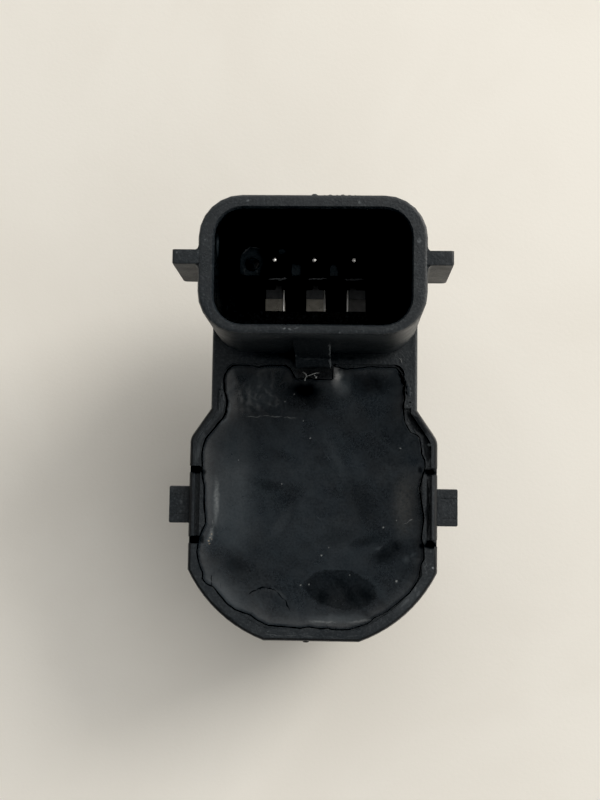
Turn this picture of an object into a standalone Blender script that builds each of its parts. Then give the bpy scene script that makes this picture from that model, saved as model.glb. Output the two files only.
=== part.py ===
"""Ultrasonic parking sensor with a rear connector, standing on its sensing face.

The origin is the centre of the sensing face. +Z runs back along the barrel to the connector mouth,
+Y runs from the barrel axis towards the connector, and X runs across. Sizes are in millimetres, and
MM turns them into metres where a mesh is made.
"""

import math

import bmesh
import bpy
from mathutils import Matrix, Vector

MM = 0.001

# Clearance left where two pieces touch on the real sensor
FIT = 0.3

# Aluminium cup whose floor is the sensing membrane
CUP_RADIUS = 7.75
CUP_FLOOR = 0.9
CUP_WALL = 1.35
CUP_HEIGHT = 9.0
CUP_EDGE_ROUND = 0.5
CUP_COLLAR_WIDTH = 0.7
CUP_COLLAR_HEIGHT = 1.4

# What the cup holds
PIEZO_RADIUS = 4.0
PIEZO_THICKNESS = 0.3
FOAM_THICKNESS = 2.4
COVER_THICKNESS = 3.4
LEAD_RADIUS = 0.3
POSITIVE_LEAD_X = -2.4
NEGATIVE_LEAD_WALL_GAP = 0.35

# Silicone ring that isolates the cup from the barrel
RING_WALL = 1.6
RING_FRONT_Z = 1.2
RING_EDGE_ROUND = 0.4

# Barrel of the housing
BARREL_WALL = 1.2
BARREL_FRONT_Z = 2.4
BARREL_EDGE_ROUND = 0.5
BARREL_OPENING_MARGIN = 0.2

# Body of the housing behind the barrel; its round end is cut flat at the sides and at the bottom
BODY_HALF_WIDTH = 12.0
BODY_SIDE_CUT = 1.4
BODY_END_CUT = 0.8
BODY_FRONT_Z = 8.0
BODY_BACK_Z = 17.5
BODY_WALL = 1.15
SIDE_WALL = 1.45
BODY_FLOOR = 1.2
SHOULDER_LOW_Y = 6.75
SHOULDER_RUN = 2.9
SHOULDER_STEP = 1.97
SHOULDER_ROUND = 1.6
NECK_WALL = 1.25
RIM_ROUND = 0.3
FRONT_EDGE_ROUND = 0.9

# Chamber that takes the board and the potting
CHAMBER_CORNER_ROUND = 1.0
CHAMBER_SHOULDER_DROP = 0.3
CHAMBER_TO_CONNECTOR = 1.0
TAB_HALF_WIDTH = 1.85
TAB_REACH = 1.4
TAB_SLANT = 0.9
SHELF_DEPTH = 0.3
SHELF_RIM_WIDTH = 0.6
LEFT_SHELF_RISE = 1.9
RIGHT_SHELF_RISE = 0.2

# Side bar with its snap lug on each side, and the shallow groove behind the bar
BAR_LOW_Y = -2.8
BAR_HIGH_Y = 3.4
BAR_THICKNESS = 0.55
BAR_GAP = 0.5
BAR_END_NOTCH = 0.65
BAR_GROOVE_DEPTH = 0.9
LUG_LOW_Y = -1.5
LUG_HIGH_Y = 2.1
LUG_REACH = 2.0
LUG_BACK_Z = 16.7
LUG_SIDE_HEIGHT = 1.6
LUG_RAMP_HEIGHT = 2.6
LUG_EDGE_ROUND = 0.15

# Connector shroud
CONNECTOR_FRONT_Y = 15.1
CONNECTOR_DEPTH = 12.5
CONNECTOR_CORNER_ROUND = 3.8
CONNECTOR_BASE_INSET = 0.1
CONNECTOR_BASE_Z = 11.4
CONNECTOR_BASE_RAMP = 1.6
CONNECTOR_PARTING_RISE = 1.2
CORE_WALL = 1.3
CORE_RIB_WIDTH = 1.0
CORE_CORNER_ROUND = 0.4
FRONT_CORE_DEPTH = 1.2
REAR_CORE_DEPTH = 2.8
MOUTH_Z = 30.0
MOUTH_ROUND = 0.35
MOUTH_CHAMFER_WIDTH = 0.18
MOUTH_CHAMFER_DEPTH = 0.35
SHROUD_SIDE_WALL = 1.43
SHROUD_FRONT_WALL = 0.9
SHROUD_REAR_WALL = 1.25
SOCKET_CORNER_ROUND = 2.5
PLATFORM_Z = 18.0
PLATFORM_SETBACK = 6.2
PLATFORM_CHAMFER = 0.2
TROUGH_DEPTH = 4.2
TROUGH_LENGTH = 3.0
TROUGH_SIDE_MARGIN = 0.9

# Keying ribs and boss on the platform
KEY_SETBACK = 0.1
KEY_RIB_WIDTH = 0.9
KEY_RIB_HEIGHT = 1.1
KEY_BOSS_WIDTH = 2.6
KEY_BOSS_LENGTH = 3.2
KEY_BOSS_HEIGHT = 0.9
KEY_BOSS_FLAT = 0.9
KEY_BOSS_SIDE_GAP = 1.35
KEY_BUMP_SETBACK = 1.1
KEY_BUMP_RADIUS = 0.65
KEY_BUMP_HEIGHT = 0.5
KEY_BUMP_ROUND = 0.2

# Guide wings beside the mouth
WING_REACH = 2.3
WING_SETBACK = 6.2
WING_THICKNESS = 1.3
WING_DEPTH = 8.3
WING_CORNER_ROUND = 0.5
WING_DROP = 0.12

# Latch ramp on the shroud's front wall
LATCH_LOW_X = -1.8
LATCH_HIGH_X = 1.6
LATCH_TOP_DROP = 2.6
LATCH_FOLD_Z = 19.6
LATCH_FOLD_PROUD = 0.65
LATCH_FOOT_PROUD = 1.5

# Contacts: a leg into the board, a wide blade under the trough and a pin in the socket
CONTACT_THICKNESS = 0.6
PIN_WIDTH = 0.64
PIN_PITCH = 3.7
PIN_SETBACK = 0.9
PIN_HEIGHT = 6.5
PIN_TIP_TAPER = 0.5
RUN_DEPTH = 2.0
BLADE_WIDTH = 1.9
BLADE_LENGTH = 4.4
BLADE_UNDER_BRIDGE = 1.6
BLADE_SPREAD = 0.3
LEG_SETBACK = 3.5
LEG_BELOW_BOARD = 0.4

# Circuit board and the pads that carry it
BOARD_THICKNESS = 1.0
BOARD_ABOVE_FLOOR = 1.4
BOARD_EDGE_GAP = 0.5
BOARD_REST_RADIUS = 1.0
BOARD_REST_LOW_Y = -7.2
BOARD_REST_HIGH_Y = 8.6
BOARD_REST_X = 6.6

# Parts on the board
CHIP_SIZE = (5.0, 4.0, 1.5)
CHIP_PLACE = (-4.7, -4.4)
CHIP_LEG_WIDTH = 0.42
CHIP_LEG_THICKNESS = 0.28
CHIP_LEG_LIFT = 0.02
CHIP_LEG_PITCH = 1.0
CHIP_LEG_REACH = 0.9
CHIP_LEG_COUNT = 5
DRUM_RADIUS = 3.0
DRUM_CORE_RADIUS = 1.3
DRUM_HEIGHT = 2.7
DRUM_FLANGE = 0.55
DRUM_PLACE = (4.5, -4.3)
WINDING_RADIUS = 2.6
BUFFER_CAPACITOR_SIZE = (2.8, 3.6, 1.9)
BUFFER_CAPACITOR_PLACE = (-6.4, 3.4)
DIODE_SIZE = (2.5, 3.7, 1.7)
DIODE_PLACE = (6.6, 4.2)
FILTER_CAPACITOR_SIZE = (1.3, 2.0, 1.2)
FILTER_CAPACITOR_X = 1.8
FILTER_CAPACITOR_Y = 5.2
RESISTOR_SIZE = (2.0, 1.25, 0.55)
DAMPING_RESISTOR_PLACE = (0.0, -8.0)
SUPPLY_RESISTOR_PLACE = (-3.6, 7.4)
SIGNAL_RESISTOR_PLACE = (3.2, 7.9)
TERMINAL_WIDTH = 0.45
TERMINAL_PROUD = 0.06

# Potting over the board
POTTING_DROP = 0.55
POTTING_EDGE_GAP = 0.25

# Steps used for round shapes, from the barrel down to the leads
FINE_TURN = 72
DISC_TURN = 48
SMALL_TURN = 32
PEG_TURN = 20
HOLE_TURN = 16
LEAD_TURN = 12
ARC_STEPS = 10
CORNER_STEPS = 6
ROUND_STEPS = 2

# How far a cutter runs past what it cuts, and the step between faces that would share a plane
CUT_PAST = 1.0
FACE_STEP = 0.01

# Edges bent by more than this many degrees stay sharp in the shading
SHARP_ANGLE = 28.0

# Places worked out from the sizes above
CUP_BORE = CUP_RADIUS - CUP_WALL
RING_BORE = CUP_RADIUS + FIT
RING_RADIUS = RING_BORE + RING_WALL
BARREL_BORE = RING_RADIUS + FIT
BARREL_RADIUS = BARREL_BORE + BARREL_WALL
BARREL_OPENING_RADIUS = CUP_BORE + BARREL_OPENING_MARGIN
BODY_ROUND_RADIUS = BODY_HALF_WIDTH + BODY_SIDE_CUT
BODY_FLAT_Y = BODY_ROUND_RADIUS - BODY_END_CUT
SHOULDER_HIGH_Y = SHOULDER_LOW_Y + SHOULDER_RUN
NECK_HALF_WIDTH = BODY_HALF_WIDTH - SHOULDER_STEP
CONNECTOR_HALF_WIDTH = NECK_HALF_WIDTH + CONNECTOR_BASE_INSET
SEAT_Z = CUP_HEIGHT + FIT
FLOOR_Z = SEAT_Z + BODY_FLOOR
BOARD_LOW_Z = FLOOR_Z + BOARD_ABOVE_FLOOR
BOARD_HIGH_Z = BOARD_LOW_Z + BOARD_THICKNESS
PARTS_Z = BOARD_HIGH_Z + FIT
POTTING_HIGH_Z = BODY_BACK_Z - POTTING_DROP
CHAMBER_HALF_WIDTH = BODY_HALF_WIDTH - SIDE_WALL
CHAMBER_NECK = NECK_HALF_WIDTH - NECK_WALL
CHAMBER_END_Y = CONNECTOR_FRONT_Y - CHAMBER_TO_CONNECTOR
SOCKET_LOW_Y = CONNECTOR_FRONT_Y + SHROUD_FRONT_WALL
SOCKET_HIGH_Y = CONNECTOR_FRONT_Y + CONNECTOR_DEPTH - SHROUD_REAR_WALL
SOCKET_HALF_WIDTH = CONNECTOR_HALF_WIDTH - SHROUD_SIDE_WALL
PLATFORM_Y = SOCKET_LOW_Y + PLATFORM_SETBACK
TROUGH_LOW_Y = PLATFORM_Y - TROUGH_LENGTH
WING_LOW_Y = CONNECTOR_FRONT_Y + WING_SETBACK
PIN_Y = PLATFORM_Y + PIN_SETBACK
PIN_TIP_Z = PLATFORM_Z + PIN_HEIGHT
LEG_Y = CHAMBER_END_Y - LEG_SETBACK
RUN_HIGH_Z = PLATFORM_Z - RUN_DEPTH
RUN_LOW_Z = RUN_HIGH_Z - CONTACT_THICKNESS
CONTACT_X = (-PIN_PITCH, 0.0, PIN_PITCH)
BLADE_X = (-PIN_PITCH - BLADE_SPREAD, 0.0, PIN_PITCH + BLADE_SPREAD)
BLADE_LOW_Y = TROUGH_LOW_Y - FIT - BLADE_UNDER_BRIDGE
NEGATIVE_LEAD_X = CUP_BORE - NEGATIVE_LEAD_WALL_GAP - LEAD_RADIUS
LEAD_X = (POSITIVE_LEAD_X, NEGATIVE_LEAD_X)

HOUSING_PLASTIC = ("housing_plastic", (0.022, 0.026, 0.030), 0.55, 0.0)
POTTING_RESIN = ("potting_resin", (0.013, 0.016, 0.019), 0.32, 0.0)
ALUMINIUM = ("cup_aluminium", (0.62, 0.63, 0.64), 0.4, 1.0)
SILICONE = ("ring_silicone", (0.03, 0.03, 0.032), 0.7, 0.0)
CERAMIC = ("piezo_ceramic", (0.56, 0.52, 0.42), 0.5, 0.0)
FOAM = ("damping_foam", (0.2, 0.2, 0.2), 0.9, 0.0)
COVER_SILICONE = ("cover_silicone", (0.5, 0.5, 0.5), 0.6, 0.0)
COPPER = ("winding_copper", (0.5, 0.22, 0.1), 0.35, 1.0)
FERRITE = ("ferrite", (0.05, 0.05, 0.055), 0.6, 0.0)
LAMINATE = ("board_laminate", (0.03, 0.16, 0.06), 0.45, 0.0)
CHIP_EPOXY = ("chip_epoxy", (0.02, 0.02, 0.022), 0.5, 0.0)
TANTALUM = ("capacitor_epoxy", (0.5, 0.3, 0.05), 0.5, 0.0)
CAPACITOR_CERAMIC = ("capacitor_ceramic", (0.35, 0.25, 0.15), 0.5, 0.0)
RESISTOR_GLAZE = ("resistor_glaze", (0.02, 0.02, 0.02), 0.3, 0.0)
CONTACT_TIN = ("contact_tin", (0.6, 0.58, 0.54), 0.35, 1.0)
RED_INSULATION = ("lead_insulation_red", (0.4, 0.03, 0.03), 0.5, 0.0)
BLACK_INSULATION = ("lead_insulation_black", (0.02, 0.02, 0.02), 0.5, 0.0)


def clear_scene():
    """Removes every object that the start-up scene holds."""
    for obj in list(bpy.data.objects):
        bpy.data.objects.remove(obj)


def material(finish):
    """The material named in a finish, made on first use."""
    name, colour, roughness, metallic = finish
    made = bpy.data.materials.get(name)
    if made is None:
        made = bpy.data.materials.new(name)
        made.use_nodes = True
        shader = made.node_tree.nodes["Principled BSDF"]
        shader.inputs["Base Color"].default_value = (*colour, 1.0)
        shader.inputs["Roughness"].default_value = roughness
        shader.inputs["Metallic"].default_value = metallic
    return made


def object_of(name, shape, finish=None):
    """A scene object from a bmesh in millimetres."""
    bmesh.ops.scale(shape, vec=(MM, MM, MM), verts=shape.verts)
    bmesh.ops.recalc_face_normals(shape, faces=shape.faces)
    mesh = bpy.data.meshes.new(name)
    shape.to_mesh(mesh)
    shape.free()
    obj = bpy.data.objects.new(name, mesh)
    bpy.context.scene.collection.objects.link(obj)
    if finish:
        mesh.materials.append(material(finish))
        shade(mesh)
    return obj


def shade(mesh):
    """Smooth shading that stays sharp at edges."""
    mesh.shade_smooth()
    mesh.set_sharp_from_angle(angle=math.radians(SHARP_ANGLE))


def spread(start, end, steps):
    """Evenly spaced values from start to end, both included."""
    return [start + (end - start) * i / steps for i in range(steps + 1)]


def rounded(corners):
    """An outline from (x, y, radius) corners, with an arc at each corner that has a radius."""
    points = []
    for i, (x, y, radius) in enumerate(corners):
        if radius <= 0:
            points.append((x, y))
            continue
        corner = Vector((x, y))
        before = (Vector(corners[i - 1][:2]) - corner).normalized()
        after = (Vector(corners[(i + 1) % len(corners)][:2]) - corner).normalized()
        half = before.angle(after) / 2
        centre = corner + (before + after).normalized() * radius / math.sin(half)
        start = corner + before * radius / math.tan(half) - centre
        end = corner + after * radius / math.tan(half) - centre
        turn = start.angle_signed(end)
        for angle in spread(0.0, turn, CORNER_STEPS):
            points.append(tuple(centre + Matrix.Rotation(-angle, 2) @ start))
    return points


def rectangle(low, high, radius=0.0):
    """A rectangle's outline between two corners."""
    return rounded(
        [
            (low[0], low[1], radius),
            (high[0], low[1], radius),
            (high[0], high[1], radius),
            (low[0], high[1], radius),
        ]
    )


def prism_shape(outline, low, high, low_round=0.0, high_round=0.0):
    """A bmesh that extrudes an outline along Z, with its two end edges rounded."""
    shape = bmesh.new()
    base = shape.faces.new([shape.verts.new((x, y, low)) for x, y in outline])
    sides = bmesh.ops.extrude_face_region(shape, geom=[base])["geom"]
    raised = [part for part in sides if isinstance(part, bmesh.types.BMVert)]
    bmesh.ops.translate(shape, vec=(0, 0, high - low), verts=raised)
    for level, radius in ((low, low_round), (high, high_round)):
        if radius <= 0:
            continue
        ends = [e for e in shape.edges if all(abs(v.co.z - level) < 1e-6 for v in e.verts)]
        bmesh.ops.bevel(
            shape, geom=ends, offset=radius, segments=ROUND_STEPS, affect="EDGES", profile=0.5, material=-1
        )
    return shape


def prism(name, outline, low, high, low_round=0.0, high_round=0.0, finish=None):
    """An outline in the XY plane extruded along Z."""
    return object_of(name, prism_shape(outline, low, high, low_round, high_round), finish)


def prism_across(name, outline, low_x, high_x, edge_round=0.0):
    """An outline in the YZ plane extruded along X."""
    shape = prism_shape(outline, low_x, high_x, edge_round, edge_round)
    bmesh.ops.transform(shape, matrix=Matrix(((0, 0, 1), (1, 0, 0), (0, 1, 0))).to_4x4(), verts=shape.verts)
    return object_of(name, shape)


def prism_along(name, outline, low_y, high_y, edge_round=0.0):
    """An outline in the XZ plane extruded along Y."""
    shape = prism_shape(outline, low_y, high_y, edge_round, edge_round)
    bmesh.ops.transform(shape, matrix=Matrix(((1, 0, 0), (0, 0, 1), (0, 1, 0))).to_4x4(), verts=shape.verts)
    return object_of(name, shape)


def box(name, low, high, finish=None, edge_round=0.0):
    """A box between two corners."""
    return prism(name, rectangle(low, high), low[2], high[2], edge_round, edge_round, finish)


def loft(name, low_outline, high_outline, low, high):
    """A body between two level outlines that have the same number of points."""
    shape = bmesh.new()
    lower = [shape.verts.new((x, y, low)) for x, y in low_outline]
    upper = [shape.verts.new((x, y, high)) for x, y in high_outline]
    shape.faces.new(lower)
    shape.faces.new(upper)
    for i in range(len(lower)):
        shape.faces.new((lower[i - 1], lower[i], upper[i], upper[i - 1]))
    return object_of(name, shape)


def lower_lip(radius, low, edge_round):
    """The points of a turned profile where its face at low meets its side with a rounded edge."""
    return [
        (radius - edge_round * (1 - math.sin(a)), low + edge_round * (1 - math.cos(a)))
        for a in spread(0.0, math.pi / 2, ROUND_STEPS + 1)
    ]


def turned(name, profile, place=(0.0, 0.0), steps=FINE_TURN, finish=None):
    """A closed (radius, z) profile spun about a vertical axis."""
    shape = bmesh.new()
    points = [shape.verts.new((radius, 0.0, z)) for radius, z in profile]
    edges = [shape.edges.new((points[i - 1], points[i])) for i in range(len(points))]
    bmesh.ops.spin(
        shape,
        geom=points + edges,
        cent=(0, 0, 0),
        axis=(0, 0, 1),
        angle=math.tau,
        steps=steps,
        use_merge=True,
    )
    bmesh.ops.remove_doubles(shape, verts=shape.verts, dist=1e-5)
    bmesh.ops.translate(shape, vec=(*place, 0.0), verts=shape.verts)
    return object_of(name, shape, finish)


def disc(name, radius, low, high, place=(0.0, 0.0), steps=SMALL_TURN, edge_round=0.0, finish=None):
    """An upright cylinder."""
    outline = [
        (place[0] + radius * math.cos(angle), place[1] + radius * math.sin(angle))
        for angle in spread(0.0, math.tau, steps)[:-1]
    ]
    return prism(name, outline, low, high, edge_round, edge_round, finish)


def combine(base, operation, tools, finish=None):
    """The base with each tool joined to it or cut from it; the tools are used up."""
    for tool in tools:
        modifier = base.modifiers.new(tool.name, "BOOLEAN")
        modifier.operation = operation
        modifier.solver = "EXACT"
        modifier.object = tool
    graph = bpy.context.evaluated_depsgraph_get()
    mesh = bpy.data.meshes.new_from_object(base.evaluated_get(graph))
    mesh.name = base.name
    base.modifiers.clear()
    base.data = mesh
    for tool in tools:
        bpy.data.objects.remove(tool)
    if finish:
        mesh.materials.clear()
        mesh.materials.append(material(finish))
        shade(mesh)
    return base


def round_end(half_width, radius, flat_y):
    """The lower end of an outline, left to right: two arcs about the axis with a flat between them."""
    flat_angle = math.asin(flat_y / radius)
    side_angle = math.acos(half_width / radius)
    right = [(radius * math.cos(a), -radius * math.sin(a)) for a in spread(flat_angle, side_angle, ARC_STEPS)]
    left = [(-x, y) for x, y in reversed(right)]
    return [(x, y, 0.0) for x, y in left + right]


def body_outline():
    """The outer outline of the body and of the neck that carries the connector."""
    neck_end = CONNECTOR_FRONT_Y + CONNECTOR_DEPTH - CONNECTOR_BASE_INSET
    right = [
        (BODY_HALF_WIDTH, SHOULDER_LOW_Y, SHOULDER_ROUND),
        (NECK_HALF_WIDTH, SHOULDER_HIGH_Y, 0.0),
        (NECK_HALF_WIDTH, neck_end, CONNECTOR_CORNER_ROUND - CONNECTOR_BASE_INSET),
    ]
    left = [(-x, y, radius) for x, y, radius in reversed(right)]
    return rounded(round_end(BODY_HALF_WIDTH, BODY_ROUND_RADIUS, BODY_FLAT_Y) + right + left)


def chamber_outline(inset=0.0):
    """The outline of the open chamber, drawn inwards by an inset for what lies in it."""
    half_width = CHAMBER_HALF_WIDTH - inset
    neck = CHAMBER_NECK - inset
    end = CHAMBER_END_Y - inset
    tab = TAB_HALF_WIDTH + inset
    tab_end = end - TAB_REACH
    lower = round_end(half_width, BODY_ROUND_RADIUS - BODY_WALL - inset, BODY_FLAT_Y - BODY_WALL - inset)
    upper = [
        (half_width, SHOULDER_LOW_Y - CHAMBER_SHOULDER_DROP, CHAMBER_CORNER_ROUND),
        (neck, SHOULDER_HIGH_Y - CHAMBER_SHOULDER_DROP, CHAMBER_CORNER_ROUND),
        (neck, end, CHAMBER_CORNER_ROUND),
        (tab, end, 0.0),
        (tab, tab_end, 0.0),
        (-tab, tab_end, 0.0),
        (-tab - TAB_SLANT, end, 0.0),
        (-neck, end, CHAMBER_CORNER_ROUND),
        (-neck, SHOULDER_HIGH_Y - CHAMBER_SHOULDER_DROP, CHAMBER_CORNER_ROUND),
        (-half_width, SHOULDER_LOW_Y - CHAMBER_SHOULDER_DROP, CHAMBER_CORNER_ROUND),
    ]
    return rounded(lower + upper)


def connector_outline():
    """The shroud's outer outline."""
    return rectangle(
        (-CONNECTOR_HALF_WIDTH, CONNECTOR_FRONT_Y),
        (CONNECTOR_HALF_WIDTH, CONNECTOR_FRONT_Y + CONNECTOR_DEPTH),
        CONNECTOR_CORNER_ROUND,
    )


def socket_outline(grow=0.0):
    """The inner outline of the shroud, made larger by grow."""
    return rectangle(
        (-SOCKET_HALF_WIDTH - grow, SOCKET_LOW_Y - grow),
        (SOCKET_HALF_WIDTH + grow, SOCKET_HIGH_Y + grow),
        SOCKET_CORNER_ROUND + grow,
    )


def barrel():
    """The solid barrel, from its front edge up into the body."""
    top = BODY_FRONT_Z + CUT_PAST
    lip = lower_lip(BARREL_RADIUS, BARREL_FRONT_Z, BARREL_EDGE_ROUND)
    return turned("barrel", [(0.0, top), (0.0, BARREL_FRONT_Z), *lip, (BARREL_RADIUS, top)])


def wing(side):
    """One guide wing beside the mouth; side is -1 or 1."""
    inner = CONNECTOR_HALF_WIDTH - SHROUD_SIDE_WALL / 2
    outer = CONNECTOR_HALF_WIDTH + WING_REACH
    top = MOUTH_Z - WING_DROP
    corners = [
        (side * inner, top - WING_DEPTH, 0.0),
        (side * outer, top - WING_DEPTH, WING_CORNER_ROUND),
        (side * outer, top, WING_CORNER_ROUND / 2),
        (side * inner, top, 0.0),
    ]
    outline = rounded(corners if side > 0 else corners[::-1])
    return prism_along(f"wing_{side}", outline, WING_LOW_Y, WING_LOW_Y + WING_THICKNESS, LUG_EDGE_ROUND)


def latch_ramp():
    """The ramp on the shroud's front wall, with its foot on the flange."""
    wall = CONNECTOR_FRONT_Y + SHROUD_FRONT_WALL / 2
    outline = [
        (wall, MOUTH_Z - LATCH_TOP_DROP),
        (CONNECTOR_FRONT_Y, MOUTH_Z - LATCH_TOP_DROP),
        (CONNECTOR_FRONT_Y - LATCH_FOLD_PROUD, LATCH_FOLD_Z),
        (CONNECTOR_FRONT_Y - LATCH_FOOT_PROUD, BODY_BACK_Z),
        (CONNECTOR_FRONT_Y - LATCH_FOOT_PROUD, BODY_BACK_Z - CUT_PAST / 2),
        (wall, BODY_BACK_Z - CUT_PAST / 2),
    ]
    return prism_across("latch_ramp", outline, LATCH_LOW_X, LATCH_HIGH_X)


def lug(side):
    """One snap lug on its bar, with a ramp towards the front; side is -1 or 1."""
    inner = BODY_HALF_WIDTH - BAR_THICKNESS / 2
    outer = BODY_HALF_WIDTH + LUG_REACH
    low = LUG_BACK_Z - LUG_SIDE_HEIGHT
    corners = [
        (side * inner, low - LUG_RAMP_HEIGHT, 0.0),
        (side * outer, low, 0.0),
        (side * outer, LUG_BACK_Z, 0.0),
        (side * inner, LUG_BACK_Z, 0.0),
    ]
    outline = rounded(corners if side > 0 else corners[::-1])
    return prism_along(f"lug_{side}", outline, LUG_LOW_Y, LUG_HIGH_Y, LUG_EDGE_ROUND)


def board_rests():
    """Four pads on the chamber floor under the board."""
    low = FLOOR_Z - BODY_FLOOR / 2
    return [
        disc(f"board_rest_{x}_{y}", BOARD_REST_RADIUS, low, BOARD_LOW_Z - FIT, (x, y), PEG_TURN)
        for x in (-BOARD_REST_X, BOARD_REST_X)
        for y in (BOARD_REST_LOW_Y, BOARD_REST_HIGH_Y)
    ]


def bar_grooves(side):
    """The shallow groove behind one side bar and the notches at its two ends."""
    floor = BODY_BACK_Z - BAR_GROOVE_DEPTH
    back = BODY_BACK_Z + CUT_PAST
    bar_inner = BODY_HALF_WIDTH - BAR_THICKNESS
    gap_inner = bar_inner - BAR_GAP
    past = BODY_HALF_WIDTH + CUT_PAST
    low_end = BAR_LOW_Y - BAR_END_NOTCH
    high_end = BAR_HIGH_Y + BAR_END_NOTCH

    def groove(name, x_low, x_high, y_low, y_high):
        x_ends = sorted((side * x_low, side * x_high))
        return box(f"{name}_{side}", (x_ends[0], y_low, floor), (x_ends[1], y_high, back))

    gap = groove("bar_gap", gap_inner, bar_inner, low_end, high_end)
    ends = [
        groove("bar_end_low", bar_inner - BAR_GAP / 2, past, low_end, BAR_LOW_Y),
        groove("bar_end_high", bar_inner - BAR_GAP / 2, past, BAR_HIGH_Y, high_end),
    ]
    return combine(gap, "UNION", ends)


def shoulder_shelf(side, rise):
    """The shallow shelf inside the rim at one shoulder; rise is how far it runs up the neck."""
    side_x = BODY_HALF_WIDTH - SHELF_RIM_WIDTH
    neck_x = NECK_HALF_WIDTH - SHELF_RIM_WIDTH
    inner = CHAMBER_NECK - CUT_PAST
    low = BAR_HIGH_Y + BAR_END_NOTCH / 2
    corners = [
        (side * inner, low, 0.0),
        (side * side_x, low, 0.0),
        (side * side_x, SHOULDER_LOW_Y - SHELF_RIM_WIDTH / 2, SHOULDER_ROUND),
        (side * neck_x, SHOULDER_HIGH_Y - SHELF_RIM_WIDTH / 2, 0.0),
        (side * neck_x, SHOULDER_HIGH_Y + rise, 0.0),
        (side * inner, SHOULDER_HIGH_Y + rise, 0.0),
    ]
    outline = rounded(corners if side > 0 else corners[::-1])
    return prism(f"shelf_{side}", outline, BODY_BACK_Z - SHELF_DEPTH, BODY_BACK_Z + CUT_PAST)


def socket_cavity():
    """The hollow of the connector, with the trough in front of the contact platform."""
    hollow = prism("socket", socket_outline(), PLATFORM_Z, MOUTH_Z + CUT_PAST)
    chamfer = loft(
        "mouth_chamfer",
        socket_outline(),
        socket_outline(2 * MOUTH_CHAMFER_WIDTH),
        MOUTH_Z - MOUTH_CHAMFER_DEPTH,
        MOUTH_Z + MOUTH_CHAMFER_DEPTH,
    )
    trough_x = SOCKET_HALF_WIDTH - TROUGH_SIDE_MARGIN
    trough_z = PLATFORM_Z - TROUGH_DEPTH
    profile = [
        (TROUGH_LOW_Y, trough_z),
        (PLATFORM_Y, trough_z),
        (PLATFORM_Y, PLATFORM_Z - PLATFORM_CHAMFER),
        (PLATFORM_Y + 2 * PLATFORM_CHAMFER, PLATFORM_Z + PLATFORM_CHAMFER),
        (PLATFORM_Y, PLATFORM_Z + CUT_PAST),
        (TROUGH_LOW_Y, PLATFORM_Z + CUT_PAST),
    ]
    return [hollow, chamfer, prism_across("trough", profile, -trough_x, trough_x)]


def under_connector():
    """The room under the connector's base, which a ramp joins to the body's front face."""
    rear = CONNECTOR_FRONT_Y + CONNECTOR_DEPTH + CUT_PAST
    ramp_low = CONNECTOR_FRONT_Y - CONNECTOR_BASE_RAMP
    profile = [
        (ramp_low, BODY_FRONT_Z - CUT_PAST),
        (rear, BODY_FRONT_Z - CUT_PAST),
        (rear, CONNECTOR_BASE_Z),
        (CONNECTOR_FRONT_Y, CONNECTOR_BASE_Z),
    ]
    half = NECK_HALF_WIDTH + CUT_PAST
    return prism_across("under_connector", profile, -half, half)


def base_cores():
    """Four pockets that thin the connector's base from below, with a cross of ribs between them."""
    half_rib = CORE_RIB_WIDTH / 2
    outer = NECK_HALF_WIDTH - CORE_WALL
    rows = (
        ("front", CONNECTOR_FRONT_Y + CORE_WALL, PLATFORM_Y - half_rib, FRONT_CORE_DEPTH),
        ("rear", PLATFORM_Y + half_rib, SOCKET_HIGH_Y - CORE_WALL / 2, REAR_CORE_DEPTH),
    )
    cores = []
    for row, low_y, high_y, depth in rows:
        for side, low_x, high_x in (("left", -outer, -half_rib), ("right", half_rib, outer)):
            outline = rectangle((low_x, low_y), (high_x, high_y), CORE_CORNER_ROUND)
            top = CONNECTOR_BASE_Z + depth
            cores.append(prism(f"core_{row}_{side}", outline, CONNECTOR_BASE_Z - CUT_PAST, top))
    return cores


def key_ribs():
    """The two ribs between the pins, and the boss beside them that is arched on one side."""
    low = PLATFORM_Z - CUT_PAST
    front = PLATFORM_Y + PLATFORM_CHAMFER + KEY_SETBACK
    ribs = [
        box(
            f"key_rib_{x}",
            (x - KEY_RIB_WIDTH / 2, front, low),
            (x + KEY_RIB_WIDTH / 2, SOCKET_HIGH_Y + SHROUD_REAR_WALL / 2, PLATFORM_Z + KEY_RIB_HEIGHT),
        )
        for x in (-PIN_PITCH / 2, PIN_PITCH / 2)
    ]
    left = -SOCKET_HALF_WIDTH + KEY_BOSS_SIDE_GAP
    arch_radius = KEY_BOSS_WIDTH - KEY_BOSS_FLAT
    arch = [
        (left, front, 0.0),
        (left + KEY_BOSS_WIDTH, front, 0.0),
        (left + KEY_BOSS_WIDTH, front + KEY_BOSS_LENGTH, 0.0),
        (left, front + KEY_BOSS_LENGTH, arch_radius),
    ]
    boss = prism("key_boss", rounded(arch), low, PLATFORM_Z + KEY_BOSS_HEIGHT)
    bump_place = (left + KEY_BOSS_WIDTH / 2, front + KEY_BUMP_SETBACK)
    bump_high = PLATFORM_Z + KEY_BOSS_HEIGHT + KEY_BUMP_HEIGHT
    bump = disc("key_bump", KEY_BUMP_RADIUS, PLATFORM_Z, bump_high, bump_place, PEG_TURN, KEY_BUMP_ROUND)
    return [*ribs, boss, bump]


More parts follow.
